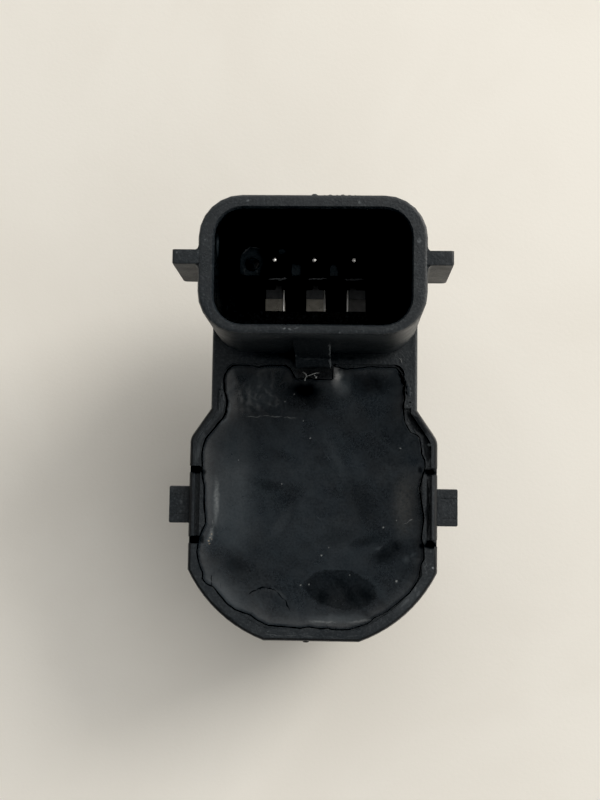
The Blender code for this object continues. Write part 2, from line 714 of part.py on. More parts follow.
def contact_slots(pin_x, blade_x):
    """The room for one contact in the housing, with the fit clearance all round."""
    half = PIN_WIDTH / 2 + FIT
    low = RUN_LOW_Z - FIT
    high = RUN_HIGH_Z + FIT
    chamber_side = CHAMBER_END_Y - TAB_REACH - CUT_PAST
    run = box(f"run_slot_{pin_x}", (pin_x - half, chamber_side, low), (pin_x + half, PIN_Y + half, high))
    wide = BLADE_WIDTH / 2 + FIT
    blade = box(
        f"blade_slot_{pin_x}",
        (blade_x - wide, BLADE_LOW_Y - FIT, low - FACE_STEP),
        (blade_x + wide, BLADE_LOW_Y + BLADE_LENGTH + FIT, high + FACE_STEP),
    )
    pin = box(
        f"pin_slot_{pin_x}",
        (pin_x - half + FACE_STEP, PIN_Y - half, low + FACE_STEP),
        (pin_x + half - FACE_STEP, PIN_Y + half - FACE_STEP, PLATFORM_Z + CUT_PAST),
    )
    return combine(run, "UNION", [blade, pin])


def housing():
    """The moulded housing: barrel, body, shroud, wings, latch ramp, side bars and lugs in one piece."""
    body = prism("housing", body_outline(), BODY_FRONT_Z, BODY_BACK_Z, FRONT_EDGE_ROUND, RIM_ROUND)
    parting_z = CONNECTOR_BASE_Z + CONNECTOR_PARTING_RISE
    shroud = prism("shroud", connector_outline(), parting_z, MOUTH_Z, high_round=MOUTH_ROUND)
    combine(body, "UNION", [barrel(), shroud, lug(-1), lug(1), wing(-1), wing(1), latch_ramp()])
    bore = disc("bore", BARREL_BORE, -CUT_PAST, SEAT_Z, steps=FINE_TURN)
    opening = disc("opening", BARREL_OPENING_RADIUS, SEAT_Z - CUT_PAST, FLOOR_Z + CUT_PAST, steps=FINE_TURN)
    chamber = prism("chamber", chamber_outline(), FLOOR_Z, BODY_BACK_Z + CUT_PAST)
    combine(body, "DIFFERENCE", [bore, opening, chamber, under_connector(), *socket_cavity()])
    combine(body, "UNION", [*key_ribs(), *board_rests()])
    slots = [contact_slots(pin_x, blade_x) for pin_x, blade_x in zip(CONTACT_X, BLADE_X)]
    shelves = [shoulder_shelf(-1, LEFT_SHELF_RISE), shoulder_shelf(1, RIGHT_SHELF_RISE)]
    cuts = [bar_grooves(-1), bar_grooves(1), *shelves, *slots, *base_cores()]
    return combine(body, "DIFFERENCE", cuts, HOUSING_PLASTIC)


def membrane_cup():
    """The aluminium cup: membrane, wall and rear collar."""
    collar = CUP_RADIUS + CUP_COLLAR_WIDTH
    collar_z = CUP_HEIGHT - CUP_COLLAR_HEIGHT
    profile = [
        (0.0, 0.0),
        *lower_lip(CUP_RADIUS, 0.0, CUP_EDGE_ROUND),
        (CUP_RADIUS, collar_z),
        (collar, collar_z),
        (collar, CUP_HEIGHT),
        (CUP_BORE, CUP_HEIGHT),
        (CUP_BORE, CUP_FLOOR),
        (0.0, CUP_FLOOR),
    ]
    return turned("membrane_cup", profile, finish=ALUMINIUM)


def decoupling_ring():
    """The silicone ring round the cup, stepped over its collar."""
    collar_bore = CUP_RADIUS + CUP_COLLAR_WIDTH + FIT
    collar_z = CUP_HEIGHT - CUP_COLLAR_HEIGHT - FIT
    profile = [
        (RING_BORE, RING_FRONT_Z),
        *lower_lip(RING_RADIUS, RING_FRONT_Z, RING_EDGE_ROUND),
        (RING_RADIUS, CUP_HEIGHT),
        (collar_bore, CUP_HEIGHT),
        (collar_bore, collar_z),
        (RING_BORE, collar_z),
    ]
    return turned("decoupling_ring", profile, finish=SILICONE)


def transducer_fill():
    """Piezo disc, damping foam and silicone cover stacked in the cup, with holes for the two leads."""
    piezo_low = CUP_FLOOR + FIT
    foam_low = piezo_low + PIEZO_THICKNESS + FIT
    cover_low = foam_low + FOAM_THICKNESS + FIT
    radius = CUP_BORE - FIT
    disc("piezo_disc", PIEZO_RADIUS, piezo_low, foam_low - FIT, steps=DISC_TURN, finish=CERAMIC)
    for name, low, thickness, finish in (
        ("damping_foam", foam_low, FOAM_THICKNESS, FOAM),
        ("cup_cover", cover_low, COVER_THICKNESS, COVER_SILICONE),
    ):
        base = disc(name, radius, low, low + thickness, steps=DISC_TURN)
        combine(base, "DIFFERENCE", lead_holes(name, low, low + thickness), finish)
    return foam_low


def lead_holes(name, low, high):
    """Cutters for the two holes that the leads pass through, clear of them all round."""
    ends = (low - CUT_PAST, high + CUT_PAST)
    return [disc(f"{name}_hole_{x}", LEAD_RADIUS + FIT, *ends, (x, 0.0), HOLE_TURN) for x in LEAD_X]


def lead_wire(name, x, low_z, finish):
    """A lead that runs straight up from the transducer into its hole in the board."""
    return disc(name, LEAD_RADIUS, low_z, BOARD_HIGH_Z, (x, 0.0), LEAD_TURN, finish=finish)


def circuit_board():
    """The laminate, cut to the chamber, with holes for the contact legs and the leads."""
    board = prism("circuit_board", chamber_outline(BOARD_EDGE_GAP), BOARD_LOW_Z, BOARD_HIGH_Z)
    ends = (BOARD_LOW_Z - CUT_PAST, BOARD_HIGH_Z + CUT_PAST)
    leg_hole = PIN_WIDTH / math.sqrt(2) + FIT
    holes = [disc(f"leg_hole_{x}", leg_hole, *ends, (x, LEG_Y), HOLE_TURN) for x in CONTACT_X]
    return combine(board, "DIFFERENCE", holes + lead_holes("board", BOARD_LOW_Z, BOARD_HIGH_Z), LAMINATE)


def contact(name, pin_x, blade_x):
    """One bent contact: board leg, run through the wall, blade in the trough and pin in the socket."""
    half = PIN_WIDTH / 2
    leg_low = BOARD_LOW_Z - LEG_BELOW_BOARD
    outline = [
        (LEG_Y - half, leg_low),
        (LEG_Y + half, leg_low),
        (LEG_Y + half, RUN_LOW_Z),
        (PIN_Y + half, RUN_LOW_Z),
        (PIN_Y + half, PIN_TIP_Z - PIN_TIP_TAPER),
        (PIN_Y + half / 2, PIN_TIP_Z),
        (PIN_Y - half / 2, PIN_TIP_Z),
        (PIN_Y - half, PIN_TIP_Z - PIN_TIP_TAPER),
        (PIN_Y - half, RUN_HIGH_Z),
        (LEG_Y - half, RUN_HIGH_Z),
    ]
    wire = prism_across(name, outline, pin_x - half, pin_x + half)
    blade = box(
        f"{name}_blade",
        (blade_x - BLADE_WIDTH / 2, BLADE_LOW_Y, RUN_LOW_Z - FACE_STEP),
        (blade_x + BLADE_WIDTH / 2, BLADE_LOW_Y + BLADE_LENGTH, RUN_HIGH_Z + FACE_STEP),
    )
    return combine(wire, "UNION", [blade], CONTACT_TIN)


def placed_box(name, size, place, finish=None, edge_round=0.0):
    """A box of a given size standing on the board."""
    low = (place[0] - size[0] / 2, place[1] - size[1] / 2, PARTS_Z)
    high = (place[0] + size[0] / 2, place[1] + size[1] / 2, PARTS_Z + size[2])
    return box(name, low, high, finish, edge_round)


def sensor_chip():
    """The control chip, with a row of legs along each long side."""
    chip = placed_box("sensor_chip", CHIP_SIZE, CHIP_PLACE)
    reach = CHIP_SIZE[1] / 2 + CHIP_LEG_REACH
    low = PARTS_Z + CHIP_LEG_LIFT
    high = low + CHIP_LEG_THICKNESS
    first_x = CHIP_PLACE[0] - (CHIP_LEG_COUNT - 1) * CHIP_LEG_PITCH / 2
    legs = []
    for i in range(CHIP_LEG_COUNT):
        left = first_x + i * CHIP_LEG_PITCH - CHIP_LEG_WIDTH / 2
        lower = (left, CHIP_PLACE[1] - reach, low)
        upper = (left + CHIP_LEG_WIDTH, CHIP_PLACE[1] + reach, high)
        legs.append(box(f"chip_leg_{i}", lower, upper))
    return combine(chip, "UNION", legs, CHIP_EPOXY)


def transformer():
    """The drum core and the winding between its flanges."""
    top = PARTS_Z + DRUM_HEIGHT
    profile = [
        (0.0, PARTS_Z),
        (DRUM_RADIUS, PARTS_Z),
        (DRUM_RADIUS, PARTS_Z + DRUM_FLANGE),
        (DRUM_CORE_RADIUS, PARTS_Z + DRUM_FLANGE),
        (DRUM_CORE_RADIUS, top - DRUM_FLANGE),
        (DRUM_RADIUS, top - DRUM_FLANGE),
        (DRUM_RADIUS, top),
        (0.0, top),
    ]
    turned("transformer_core", profile, DRUM_PLACE, SMALL_TURN, FERRITE)
    low = PARTS_Z + DRUM_FLANGE + FIT
    high = top - DRUM_FLANGE - FIT
    inner = DRUM_CORE_RADIUS + FIT
    ring = [(inner, low), (WINDING_RADIUS, low), (WINDING_RADIUS, high), (inner, high)]
    turned("transformer_winding", ring, DRUM_PLACE, SMALL_TURN, COPPER)


def end_capped(name, size, place, finish):
    """A chip part whose two ends are a little proud, as soldered terminals are."""
    part = placed_box(name, size, place)
    along = 0 if size[0] > size[1] else 1
    caps = []
    for end in (-1, 1):
        cap_size = [size[0] + TERMINAL_PROUD, size[1] + TERMINAL_PROUD, size[2] + TERMINAL_PROUD]
        cap_size[along] = TERMINAL_WIDTH
        cap_place = list(place)
        cap_place[along] += end * (size[along] - TERMINAL_WIDTH) / 2
        cap_place[along] += end * TERMINAL_PROUD
        caps.append(placed_box(f"{name}_cap_{end}", cap_size, cap_place))
    return combine(part, "UNION", caps, finish)


def board_parts():
    """Every part that stands on the board, as (name, size, place) boxes for the pockets over them."""
    sensor_chip()
    transformer()
    filter_left = (-FILTER_CAPACITOR_X, FILTER_CAPACITOR_Y)
    filter_right = (FILTER_CAPACITOR_X, FILTER_CAPACITOR_Y)
    listed = [
        ("buffer_capacitor", BUFFER_CAPACITOR_SIZE, BUFFER_CAPACITOR_PLACE, TANTALUM),
        ("protection_diode", DIODE_SIZE, DIODE_PLACE, CHIP_EPOXY),
        ("filter_capacitor_left", FILTER_CAPACITOR_SIZE, filter_left, CAPACITOR_CERAMIC),
        ("filter_capacitor_right", FILTER_CAPACITOR_SIZE, filter_right, CAPACITOR_CERAMIC),
        ("damping_resistor", RESISTOR_SIZE, DAMPING_RESISTOR_PLACE, RESISTOR_GLAZE),
        ("supply_resistor", RESISTOR_SIZE, SUPPLY_RESISTOR_PLACE, RESISTOR_GLAZE),
        ("signal_resistor", RESISTOR_SIZE, SIGNAL_RESISTOR_PLACE, RESISTOR_GLAZE),
    ]
    for name, size, place, finish in listed:
        end_capped(name, size, place, finish)
    chip_room = (CHIP_SIZE[0], CHIP_SIZE[1] + 2 * CHIP_LEG_REACH, CHIP_SIZE[2])
    drum_room = (2 * DRUM_RADIUS, 2 * DRUM_RADIUS, DRUM_HEIGHT)
    rooms = [(name, size, place) for name, size, place, _ in listed]
    return [*rooms, ("chip", chip_room, CHIP_PLACE), ("drum", drum_room, DRUM_PLACE)]


def potting_fill(rooms):
    """The potting over the board, with a pocket over each part and each contact."""
    outline = chamber_outline(POTTING_EDGE_GAP)
    fill = prism("potting_fill", outline, PARTS_Z, POTTING_HIGH_Z, high_round=RIM_ROUND)
    low = PARTS_Z - CUT_PAST
    clear = FIT + TERMINAL_PROUD
    pockets = []
    for name, size, (x, y) in rooms:
        half_x = size[0] / 2 + clear
        half_y = size[1] / 2 + clear
        upper = (x + half_x, y + half_y, PARTS_Z + size[2] + clear)
        pockets.append(box(f"pocket_{name}", (x - half_x, y - half_y, low), upper))
    half = PIN_WIDTH / 2 + FIT
    for x in CONTACT_X:
        upper = (x + half, CONNECTOR_FRONT_Y, RUN_HIGH_Z + FIT)
        pockets.append(box(f"pocket_contact_{x}", (x - half, LEG_Y - half, low), upper))
    return combine(fill, "DIFFERENCE", pockets, POTTING_RESIN)


def main():
    """Builds the sensor from the housing inwards."""
    clear_scene()
    housing()
    membrane_cup()
    decoupling_ring()
    leads_low = transducer_fill()
    lead_wire("lead_wire_positive", POSITIVE_LEAD_X, leads_low, RED_INSULATION)
    lead_wire("lead_wire_negative", NEGATIVE_LEAD_X, leads_low, BLACK_INSULATION)
    circuit_board()
    for name, pin_x, blade_x in zip(("left", "middle", "right"), CONTACT_X, BLADE_X):
        contact(f"contact_pin_{name}", pin_x, blade_x)
    potting_fill(board_parts())


main()
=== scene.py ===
"""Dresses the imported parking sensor: a black moulding with a plug socket, snap lugs and cracked potting.

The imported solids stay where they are. The housing, the potting and the three contacts are replaced by finer
pieces made from copies of their own solids, small residues are added, and each piece gets a node material.
All sizes in the classes are millimetres in the part's own frame.
"""

import logging
import math
from dataclasses import dataclass, replace
from enum import Enum
from typing import Callable

import bmesh
import bpy
import numpy as np
from bmesh.types import BMEdge, BMesh, BMVert
from bpy.types import Material, Node, NodeSocket, NodeTree, Object
from mathutils import Matrix, Vector, noise


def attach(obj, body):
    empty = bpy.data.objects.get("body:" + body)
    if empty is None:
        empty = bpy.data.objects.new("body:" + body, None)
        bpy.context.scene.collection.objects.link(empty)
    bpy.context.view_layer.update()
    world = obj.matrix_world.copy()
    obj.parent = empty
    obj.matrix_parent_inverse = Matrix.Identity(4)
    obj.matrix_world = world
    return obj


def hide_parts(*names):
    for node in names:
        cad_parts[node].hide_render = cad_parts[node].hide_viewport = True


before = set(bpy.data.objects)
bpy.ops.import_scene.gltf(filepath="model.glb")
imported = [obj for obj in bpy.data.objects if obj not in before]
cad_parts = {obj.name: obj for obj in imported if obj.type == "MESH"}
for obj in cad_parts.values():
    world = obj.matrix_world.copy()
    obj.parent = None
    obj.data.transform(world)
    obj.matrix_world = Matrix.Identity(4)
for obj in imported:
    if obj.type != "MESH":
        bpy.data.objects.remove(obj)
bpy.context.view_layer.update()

MM = 0.001
log = logging.getLogger("parking_sensor")
Point2 = tuple[float, float]
Point3 = tuple[float, float, float]


# Colour and nodes

def linear(code: str) -> tuple[float, float, float, float]:
    """Turns an sRGB hex colour into linear light.

    Args:
        code: six hex digits.
    Returns:
        Red, green, blue and 1, ready for a colour socket.
    """
    values = [int(code[i:i + 2], 16) / 255.0 for i in (0, 2, 4)]
    red, green, blue = (v / 12.92 if v <= 0.04045 else ((v + 0.055) / 1.055) ** 2.4 for v in values)
    return (red, green, blue, 1.0)


def fit(size_mm: float) -> float:
    """The scale at which a pattern's features measure about so many millimetres."""
    return 1.0 / (size_mm * MM)


def add(tree: NodeTree, kind: str, inputs: dict | list | None = None, **settings: object) -> Node:
    """Adds one node with its settings and its links.

    Args:
        tree: the node tree it goes in.
        kind: the node's type, without the word ShaderNode.
        inputs: a value, a node or an output for each socket, by name or in the sockets' order.
        settings: attributes of the node.
    Returns:
        The new node.
    """
    node = tree.nodes.new("ShaderNode" + kind)
    for name, value in settings.items():
        setattr(node, name, value)
    for name, value in inputs.items() if isinstance(inputs, dict) else enumerate(inputs or []):
        if isinstance(value, Node):
            value = value.outputs[0]
        if isinstance(value, NodeSocket):
            tree.links.new(value, node.inputs[name])
        else:
            node.inputs[name].default_value = value
    return node


class Trace(Enum):
    """What a mark does: its colour in the finish, and what it adds to the roughness.

    The last three values break it up: the fleck's low and high end, and how much is left at the low end.
    """

    # HAZE_AND_SHEEN is thin haze, and also lays painted highlights where edges and rising surfaces catch the
    # light
    HAZE_AND_SHEEN = ("veil_and_sheen", 0.1, 0.15, 0.6, 0.25)     # thin haze: a little lighter and rougher
    WET = ("wet_and_shade", -0.12, 0.15, 0.6, 0.25)     # dark smooth patches: darker and glossier
    # BLACK_SHADE lays painted shade: unbroken black without gloss in notches and gaps, on shaded walls and
    # round the pins' shafts, and also dark crack lines and patches
    BLACK_SHADE = ("wet_and_shade", 0.0, 0.15, 0.6, 1.0)       # unlit, unbroken black without gloss
    BROWN = ("brown", 0.2, 0.3, 0.62, 0.25)   # brown dirt
    # PALE also lays painted highlights along some edges
    PALE = ("pale", 0.15, 0.3, 0.62, 0.25)    # scratches, scuffs and dust: lighter and rougher


class Pattern(Enum):
    """The pattern that a finish has beside its mottling and grain."""

    NONE = "none"
    TURNS = "turns"      # wire turns stacked along Z
    PORES = "pores"      # open cells of a foam
    TRACKS = "tracks"    # copper tracks under a solder mask
    FIBRES = "fibres"    # short glass fibres at a moulding's skin
    SMEARS = "smears"    # faint diagonal wiping strokes


@dataclass(frozen=True)
class Mark:
    """One soft-edged spot, streak or patch: an ellipsoid in the part's frame, in millimetres."""

    kind: Trace
    place: Point3
    half: Point3
    turn: float = 0.0
    strength: float = 1.0
    core: float = 0.5

    def mask(self, tree: NodeTree, vector: NodeSocket) -> Node:
        """Builds the mark's mask.

        Args:
            tree: the material's node tree.
            vector: the coordinates it reads.
        Returns:
            A node whose output runs from 0 outside to the mark's strength inside.
        """
        local = add(tree, "Mapping", {
            "Vector": vector, "Location": [v * MM for v in self.place], "Scale": [v * MM for v in self.half],
            "Rotation": (0.0, 0.0, math.radians(self.turn))}, vector_type="TEXTURE")
        far = add(tree, "VectorMath", [local], operation="LENGTH")
        return add(tree, "MapRange", [far.outputs["Value"], 1.0, self.core, 0.0, self.strength],
                   interpolation_type="SMOOTHSTEP")


def spots(kind: Trace, z: float, deep: float, *rows: tuple[float, ...]) -> tuple[Mark, ...]:
    """Several marks of one kind at one height.

    Args:
        kind: what they do.
        z: the height of their centres.
        deep: half their depth.
        rows: x, y, half width, half length, turn, strength and core of each.
    Returns:
        The marks.
    """
    return tuple(Mark(kind, (x, y, z), (wide, long, deep), *rest) for x, y, wide, long, *rest in rows)


def trail(kind: Trace, points: list[Point2], z: float, width: float, strength: float) -> tuple[Mark, ...]:
    """A thin drawn-out mark along a line, such as a scratch.

    Args:
        kind: what it does.
        points: the line.
        z: its height.
        width: half its width.
        strength: its strength.
    Returns:
        One long mark for each stretch of the line.
    """
    made = []
    for (ax, ay), (bx, by) in zip(points, points[1:]):
        length = math.hypot(bx - ax, by - ay)
        made.append(Mark(kind, ((ax + bx) / 2.0, (ay + by) / 2.0, z), (0.62 * length + width, width, 0.8),
                         math.degrees(math.atan2(by - ay, bx - ax)), strength, 0.3))
    return tuple(made)


@dataclass
class Skin:
    """A material while it is built: its nodes, noises and coordinates, and what feeds its shader so far."""

    tree: NodeTree
    noises: dict[str, Node]
    place: NodeSocket
    warped: NodeSocket
    colour: NodeSocket
    rough: Node
    height: Node
    shine: Node | None = None

    def tint(self, share: Node | NodeSocket, code: str) -> None:
        """Mixes in a colour.

        Args:
            share: the mask that says where.
            code: the colour, in hex.
        """
        mixed = add(self.tree, "Mix", {0: share, 6: self.colour, 7: linear(code)}, data_type="RGBA")
        self.colour = mixed.outputs[2]


@dataclass(frozen=True)
class Finish:
    """A material: a common name, typical values, and the detail that the eye sees on it."""

    name: str
    base: str
    second: str
    roughness: float
    roughness_spread: float = 0.08
    metallic: float = 0.0
    ior: float = 1.5
    specular: float = 0.5
    mottle_mm: float = 2.5
    mottle_share: float = 0.5
    grain_mm: float = 0.12
    grain_depth_mm: float = 0.01
    ripple_mm: float = 3.0
    ripple_depth_mm: float = 0.0
    fine: float = 0.0
    fine_mm: float = 0.22
    fine_low: float = 0.5
    dust: float = 0.0
    dust_mm: float = 0.35
    pale: str = "8b9094"
    veil_and_sheen: str = "4a5054"
    wet_and_shade: str = "07090b"
    brown: str = "6b5a45"
    pattern: Pattern = Pattern.NONE
    pattern_mm: float = 0.3
    pattern_colour: str = "000000"
    marks: tuple[Mark, ...] = ()

    def zones(self, borders: dict[str, Point2]) -> list["Finish"]:
        """The same finish for several strips of a piece, because a single shader can't hold all the marks.

        Args:
            borders: the strip's name to its lowest and highest y.
        Returns:
            One finish for each strip, with the marks that reach into it.
        """
        made = []
        for name, (low, high) in borders.items():
            reach = [(m, m.place[1], max(m.half[:2]) + 1.0) for m in self.marks]
            marks = tuple(m for m, y, far in reach if y + far > low and y - far < high)
            made.append(replace(self, name=f"{self.name}_{name}", marks=marks))
        return made

    def build(self) -> Material:
        """Builds the material, on Object coordinates throughout.

        Returns:
            The material.
        """
        made = bpy.data.materials.new(self.name)
        made.use_nodes = True
        tree = made.node_tree
        tree.nodes.clear()
        skin = self.ground(tree)
        if self.pattern is not Pattern.NONE:
            self.patterned(skin)
        if self.dust:
            self.dusted(skin)
        if self.marks:
            self.marked(skin)
        bump = add(tree, "Bump", {"Height": skin.height, "Strength": 1.0, "Distance": 1.0})
        shader = add(tree, "BsdfPrincipled", {
            "Base Color": skin.colour, "Roughness": skin.rough, "Normal": bump, "Metallic": self.metallic,
            "IOR": self.ior, "Specular IOR Level": self.specular})
        if skin.shine:
            tree.links.new(skin.shine.outputs[0], shader.inputs["Specular IOR Level"])
        add(tree, "OutputMaterial", {"Surface": shader})
        return made

    def ground(self, tree: NodeTree) -> Skin:
        """Builds the mottled colour, the patchy roughness and the fine relief of the whole surface.

        Args:
            tree: the material's node tree.
        Returns:
            The skin so far.
        """
        place = add(tree, "TexCoord").outputs["Object"]
        noises = {name: add(tree, "TexNoise", {
            "Vector": place, "Scale": fit(size), "Detail": detail, "Roughness": rough, "Distortion": warp})
            for name, size, detail, rough, warp, used in (
                ("drift", 0.8, 2.0, 0.55, 0.0, True),                      # bends the marks' outlines
                ("mottle", self.mottle_mm, 4.0, 0.6, 0.4, True),           # mixes the two colours
                ("patchy", self.mottle_mm * 0.6, 3.0, 0.55, 0.0, True),    # varies the roughness
                ("grain", self.grain_mm, 2.0, 0.6, 0.0, True),             # fine relief
                ("ripple", self.ripple_mm, 2.0, 0.4, 0.6, self.ripple_depth_mm),   # wide relief
                ("speckle", self.fine_mm, 2.0, 0.7, 0.0, self.fine),       # paler flecks of the skin
                ("crowd", 4.0, 3.0, 0.6, 0.0, self.dust),                  # where dust gathers
                ("fleck", 0.22, 3.0, 0.7, 0.0, self.marks)) if used}       # breaks up the marks
        shift = add(tree, "VectorMath", [noises["drift"].outputs["Color"], (0.5, 0.5, 0.5)],
                    operation="SUBTRACT")
        warped = add(tree, "VectorMath", [shift, [0.5 * MM] * 3, place], operation="MULTIPLY_ADD")
        share = add(tree, "MapRange", [noises["mottle"], 0.35, 0.68, 0.0, self.mottle_share],
                    interpolation_type="SMOOTHSTEP")
        colour = add(tree, "Mix", {0: share, 6: linear(self.base), 7: linear(self.second)}, data_type="RGBA")
        low, high = self.roughness - self.roughness_spread, self.roughness + self.roughness_spread
        rough = add(tree, "MapRange", [noises["patchy"], 0.3, 0.7, low, high])
        height = add(tree, "Math", [noises["grain"], self.grain_depth_mm * MM], operation="MULTIPLY")
        skin = Skin(tree, noises, place, warped.outputs[0], colour.outputs[2], rough, height)
        if self.fine:
            high = self.fine_low + 0.25
            skin.tint(add(tree, "MapRange", [noises["speckle"], self.fine_low, high, 0.0, self.fine]),
                      self.veil_and_sheen)
        if self.ripple_depth_mm:
            skin.height = add(tree, "Math", [noises["ripple"], self.ripple_depth_mm * MM, height],
                              operation="MULTIPLY_ADD")
        return skin

    def patterned(self, skin: Skin) -> None:
        """Adds the finish's pattern to the colour and the relief.

        Args:
            skin: the material so far.
        """
        tree, where = skin.tree, {"Vector": skin.place, "Scale": fit(self.pattern_mm)}
        if self.pattern is Pattern.TURNS:
            where["Scale"] /= math.pi
            wave = add(tree, "TexWave", {**where, "Distortion": 0.3, "Detail": 1.0}, bands_direction="Z")
            mask, depth = wave.outputs["Fac"], self.pattern_mm * 0.3
        elif self.pattern is Pattern.TRACKS:
            cell = add(tree, "TexVoronoi", {**where, "Randomness": 0.55}, feature="DISTANCE_TO_EDGE")
            mask, depth = add(tree, "MapRange", [cell.outputs["Distance"], 0.1, 0.14, 1.0, 0.0]), 0.03
        elif self.pattern is Pattern.PORES:
            cell = add(tree, "TexVoronoi", where, feature="F1")
            mask = add(tree, "MapRange", [cell.outputs["Distance"], 0.25, 0.55, 1.0, 0.0])
            depth = -0.6 * self.pattern_mm
        else:
            wiped = self.pattern is Pattern.SMEARS
            longer, turn, low, most = (4.0, 0.75, 0.5, 0.22) if wiped else (4.5, 0.35, 0.6, 0.35)
            depth = 0.0 if wiped else 0.008
            where["Vector"] = add(tree, "Mapping", {
                "Vector": skin.place, "Scale": (1.0, longer, 1.0), "Rotation": (0.0, 0.0, turn)},
                vector_type="TEXTURE").outputs[0]
            strand = add(tree, "TexNoise", {**where, "Detail": 2.0, "Distortion": 1.2})
            mask = add(tree, "MapRange", [strand, low, 0.75, 0.0, most])
        skin.tint(mask, self.pattern_colour)
        skin.height = add(tree, "Math", [mask, depth * MM, skin.height], operation="MULTIPLY_ADD")

    def dusted(self, skin: Skin) -> None:
        """Scatters crowds of small pale dots.

        Args:
            skin: the material so far.
        """
        tree = skin.tree
        speck = add(tree, "TexVoronoi", {"Vector": skin.warped, "Scale": fit(self.dust_mm)}, feature="F1")
        size = add(tree, "MapRange", [skin.noises["crowd"], 0.42, 0.75, 0.0, 0.26])
        chance = add(tree, "SeparateColor", [speck.outputs["Color"]])
        kept = add(tree, "Math", [chance, 0.72], operation="GREATER_THAN")
        dot = add(tree, "Math", [speck.outputs["Distance"], size], operation="LESS_THAN")
        dots = add(tree, "Math", [dot, kept], operation="MULTIPLY")
        skin.tint(add(tree, "Math", [dots, self.dust], operation="MULTIPLY"), self.pale)

    def marked(self, skin: Skin) -> None:
        """Lays the marks over the skin, kind by kind. Joining masks one by one spares the shader's memory.

        Args:
            skin: the material so far.
        """
        tree = skin.tree
        for kind in Trace:
            total = None
            for mark in self.marks:
                if mark.kind is kind:
                    mask = mark.mask(tree, skin.warped)
                    total = add(tree, "Math", [total, mask], operation="MAXIMUM") if total else mask
            if not total:
                continue
            colour, rougher, low, high, least = kind.value
            broken = add(tree, "MapRange", [skin.noises["fleck"], low, high, least, 1.0])
            total = add(tree, "Math", [total, broken], operation="MULTIPLY", use_clamp=True)
            skin.tint(total, getattr(self, colour))
            skin.rough = add(tree, "Math", [total, rougher, skin.rough], operation="MULTIPLY_ADD",
                             use_clamp=True)
            if kind is Trace.BLACK_SHADE:
                skin.shine = add(tree, "Math", [total, -self.specular, self.specular],
                                 operation="MULTIPLY_ADD", use_clamp=True)


# Mesh helpers

def object_of(name: str, shape: BMesh) -> Object:
    """Makes a bmesh a mesh object at the origin, links it to the scene and frees the bmesh.

    Args:
        name: the object's name.
        shape: the finished shape, in metres.
    Returns:
        The object.
    """
    mesh = bpy.data.meshes.new(name)
    shape.to_mesh(mesh)
    shape.free()
    made = bpy.data.objects.new(name, mesh)
    bpy.context.scene.collection.objects.link(made)
    return made


def copy_of(node: str) -> BMesh:
    """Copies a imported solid, merges its points and joins its flat faces.

    Args:
        node: the solid's node.
    Returns:
        The shape, in metres.
    """
    shape = bmesh.new()
    shape.from_mesh(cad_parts[node].data)
    bmesh.ops.remove_doubles(shape, verts=shape.verts, dist=0.0005 * MM)
    bmesh.ops.dissolve_limit(shape, angle_limit=math.radians(0.4), verts=shape.verts, edges=shape.edges)
    return shape


def prism(outline: list[Point2], low: float, high: float) -> BMesh:
    """A closed upright prism.

    Args:
        outline: its outline.
        low: height of its lower face.
        high: height of its upper face.
    Returns:
        The shape, in metres, its faces outwards.
    """
    shape = bmesh.new()
    floor = shape.faces.new([shape.verts.new((x * MM, y * MM, low * MM)) for x, y in outline])
    grown = bmesh.ops.extrude_face_region(shape, geom=[floor])
    lifted = [v for v in grown["geom"] if isinstance(v, BMVert)]
    bmesh.ops.translate(shape, verts=lifted, vec=(0.0, 0.0, (high - low) * MM))
    bmesh.ops.recalc_face_normals(shape, faces=shape.faces)
    return shape


def rounded(shape: BMesh, edges: list[BMEdge], width: float, segments: int = 2) -> None:
    """Rounds or breaks some edges.

    Args:
        shape: the shape.
        edges: which edges.
        width: the width of the bevel.
        segments: 1 for a flat bevel, more for a round one.
    """
    bmesh.ops.bevel(shape, geom=edges, offset=width * MM, offset_type="OFFSET", affect="EDGES",
                    segments=segments, profile=0.5, material=-1, clamp_overlap=True)


def block(low: Point3, high: Point3, edge: float = 0.0) -> BMesh:
    """A block.

    Args:
        low: its lowest corner.
        high: its highest corner.
        edge: the width of its rounded edges.
    Returns:
        The shape, in metres.
    """
    shape = bmesh.new()
    size = [(b - a) * MM for a, b in zip(low, high)]
    middle = [(a + b) * 0.5 * MM for a, b in zip(low, high)]
    bmesh.ops.create_cube(shape, size=1.0, matrix=Matrix.LocRotScale(Vector(middle), None, Vector(size)))
    if edge:
        rounded(shape, shape.edges[:], edge)
    return shape


def bead(shape: BMesh, place: Point3, radius: float, squash: Point3, fineness: int = 2) -> None:
    """Adds a squashed ball.

    Args:
        shape: the mesh it is added to.
        place: its centre.
        radius: its radius.
        squash: its scale along x, y and z.
        fineness: how often its faces are split.
    """
    bmesh.ops.create_icosphere(shape, subdivisions=fineness, radius=radius * MM, matrix=Matrix.Translation(
        Vector(place) * MM) @ Matrix.Diagonal((*squash, 1.0)))


def combine(base: Object, operation: str, tools: list[BMesh]) -> None:
    """Joins closed shapes to an object or cuts it with them, and keeps the result in its mesh.

    Args:
        base: the object that changes.
        operation: UNION, DIFFERENCE or INTERSECT.
        tools: the shapes, which are used up.
    """
    for number, tool in enumerate(tools):
        other = object_of(f"tool_{number}", tool)
        step = base.modifiers.new("join", "BOOLEAN")
        step.object, step.operation, step.solver = other, operation, "EXACT"
        bpy.context.view_layer.update()
        done = bpy.data.meshes.new_from_object(base.evaluated_get(bpy.context.evaluated_depsgraph_get()))
        base.modifiers.clear()
        old = base.data
        base.data = done
        bpy.data.meshes.remove(old)
        bpy.data.objects.remove(other)


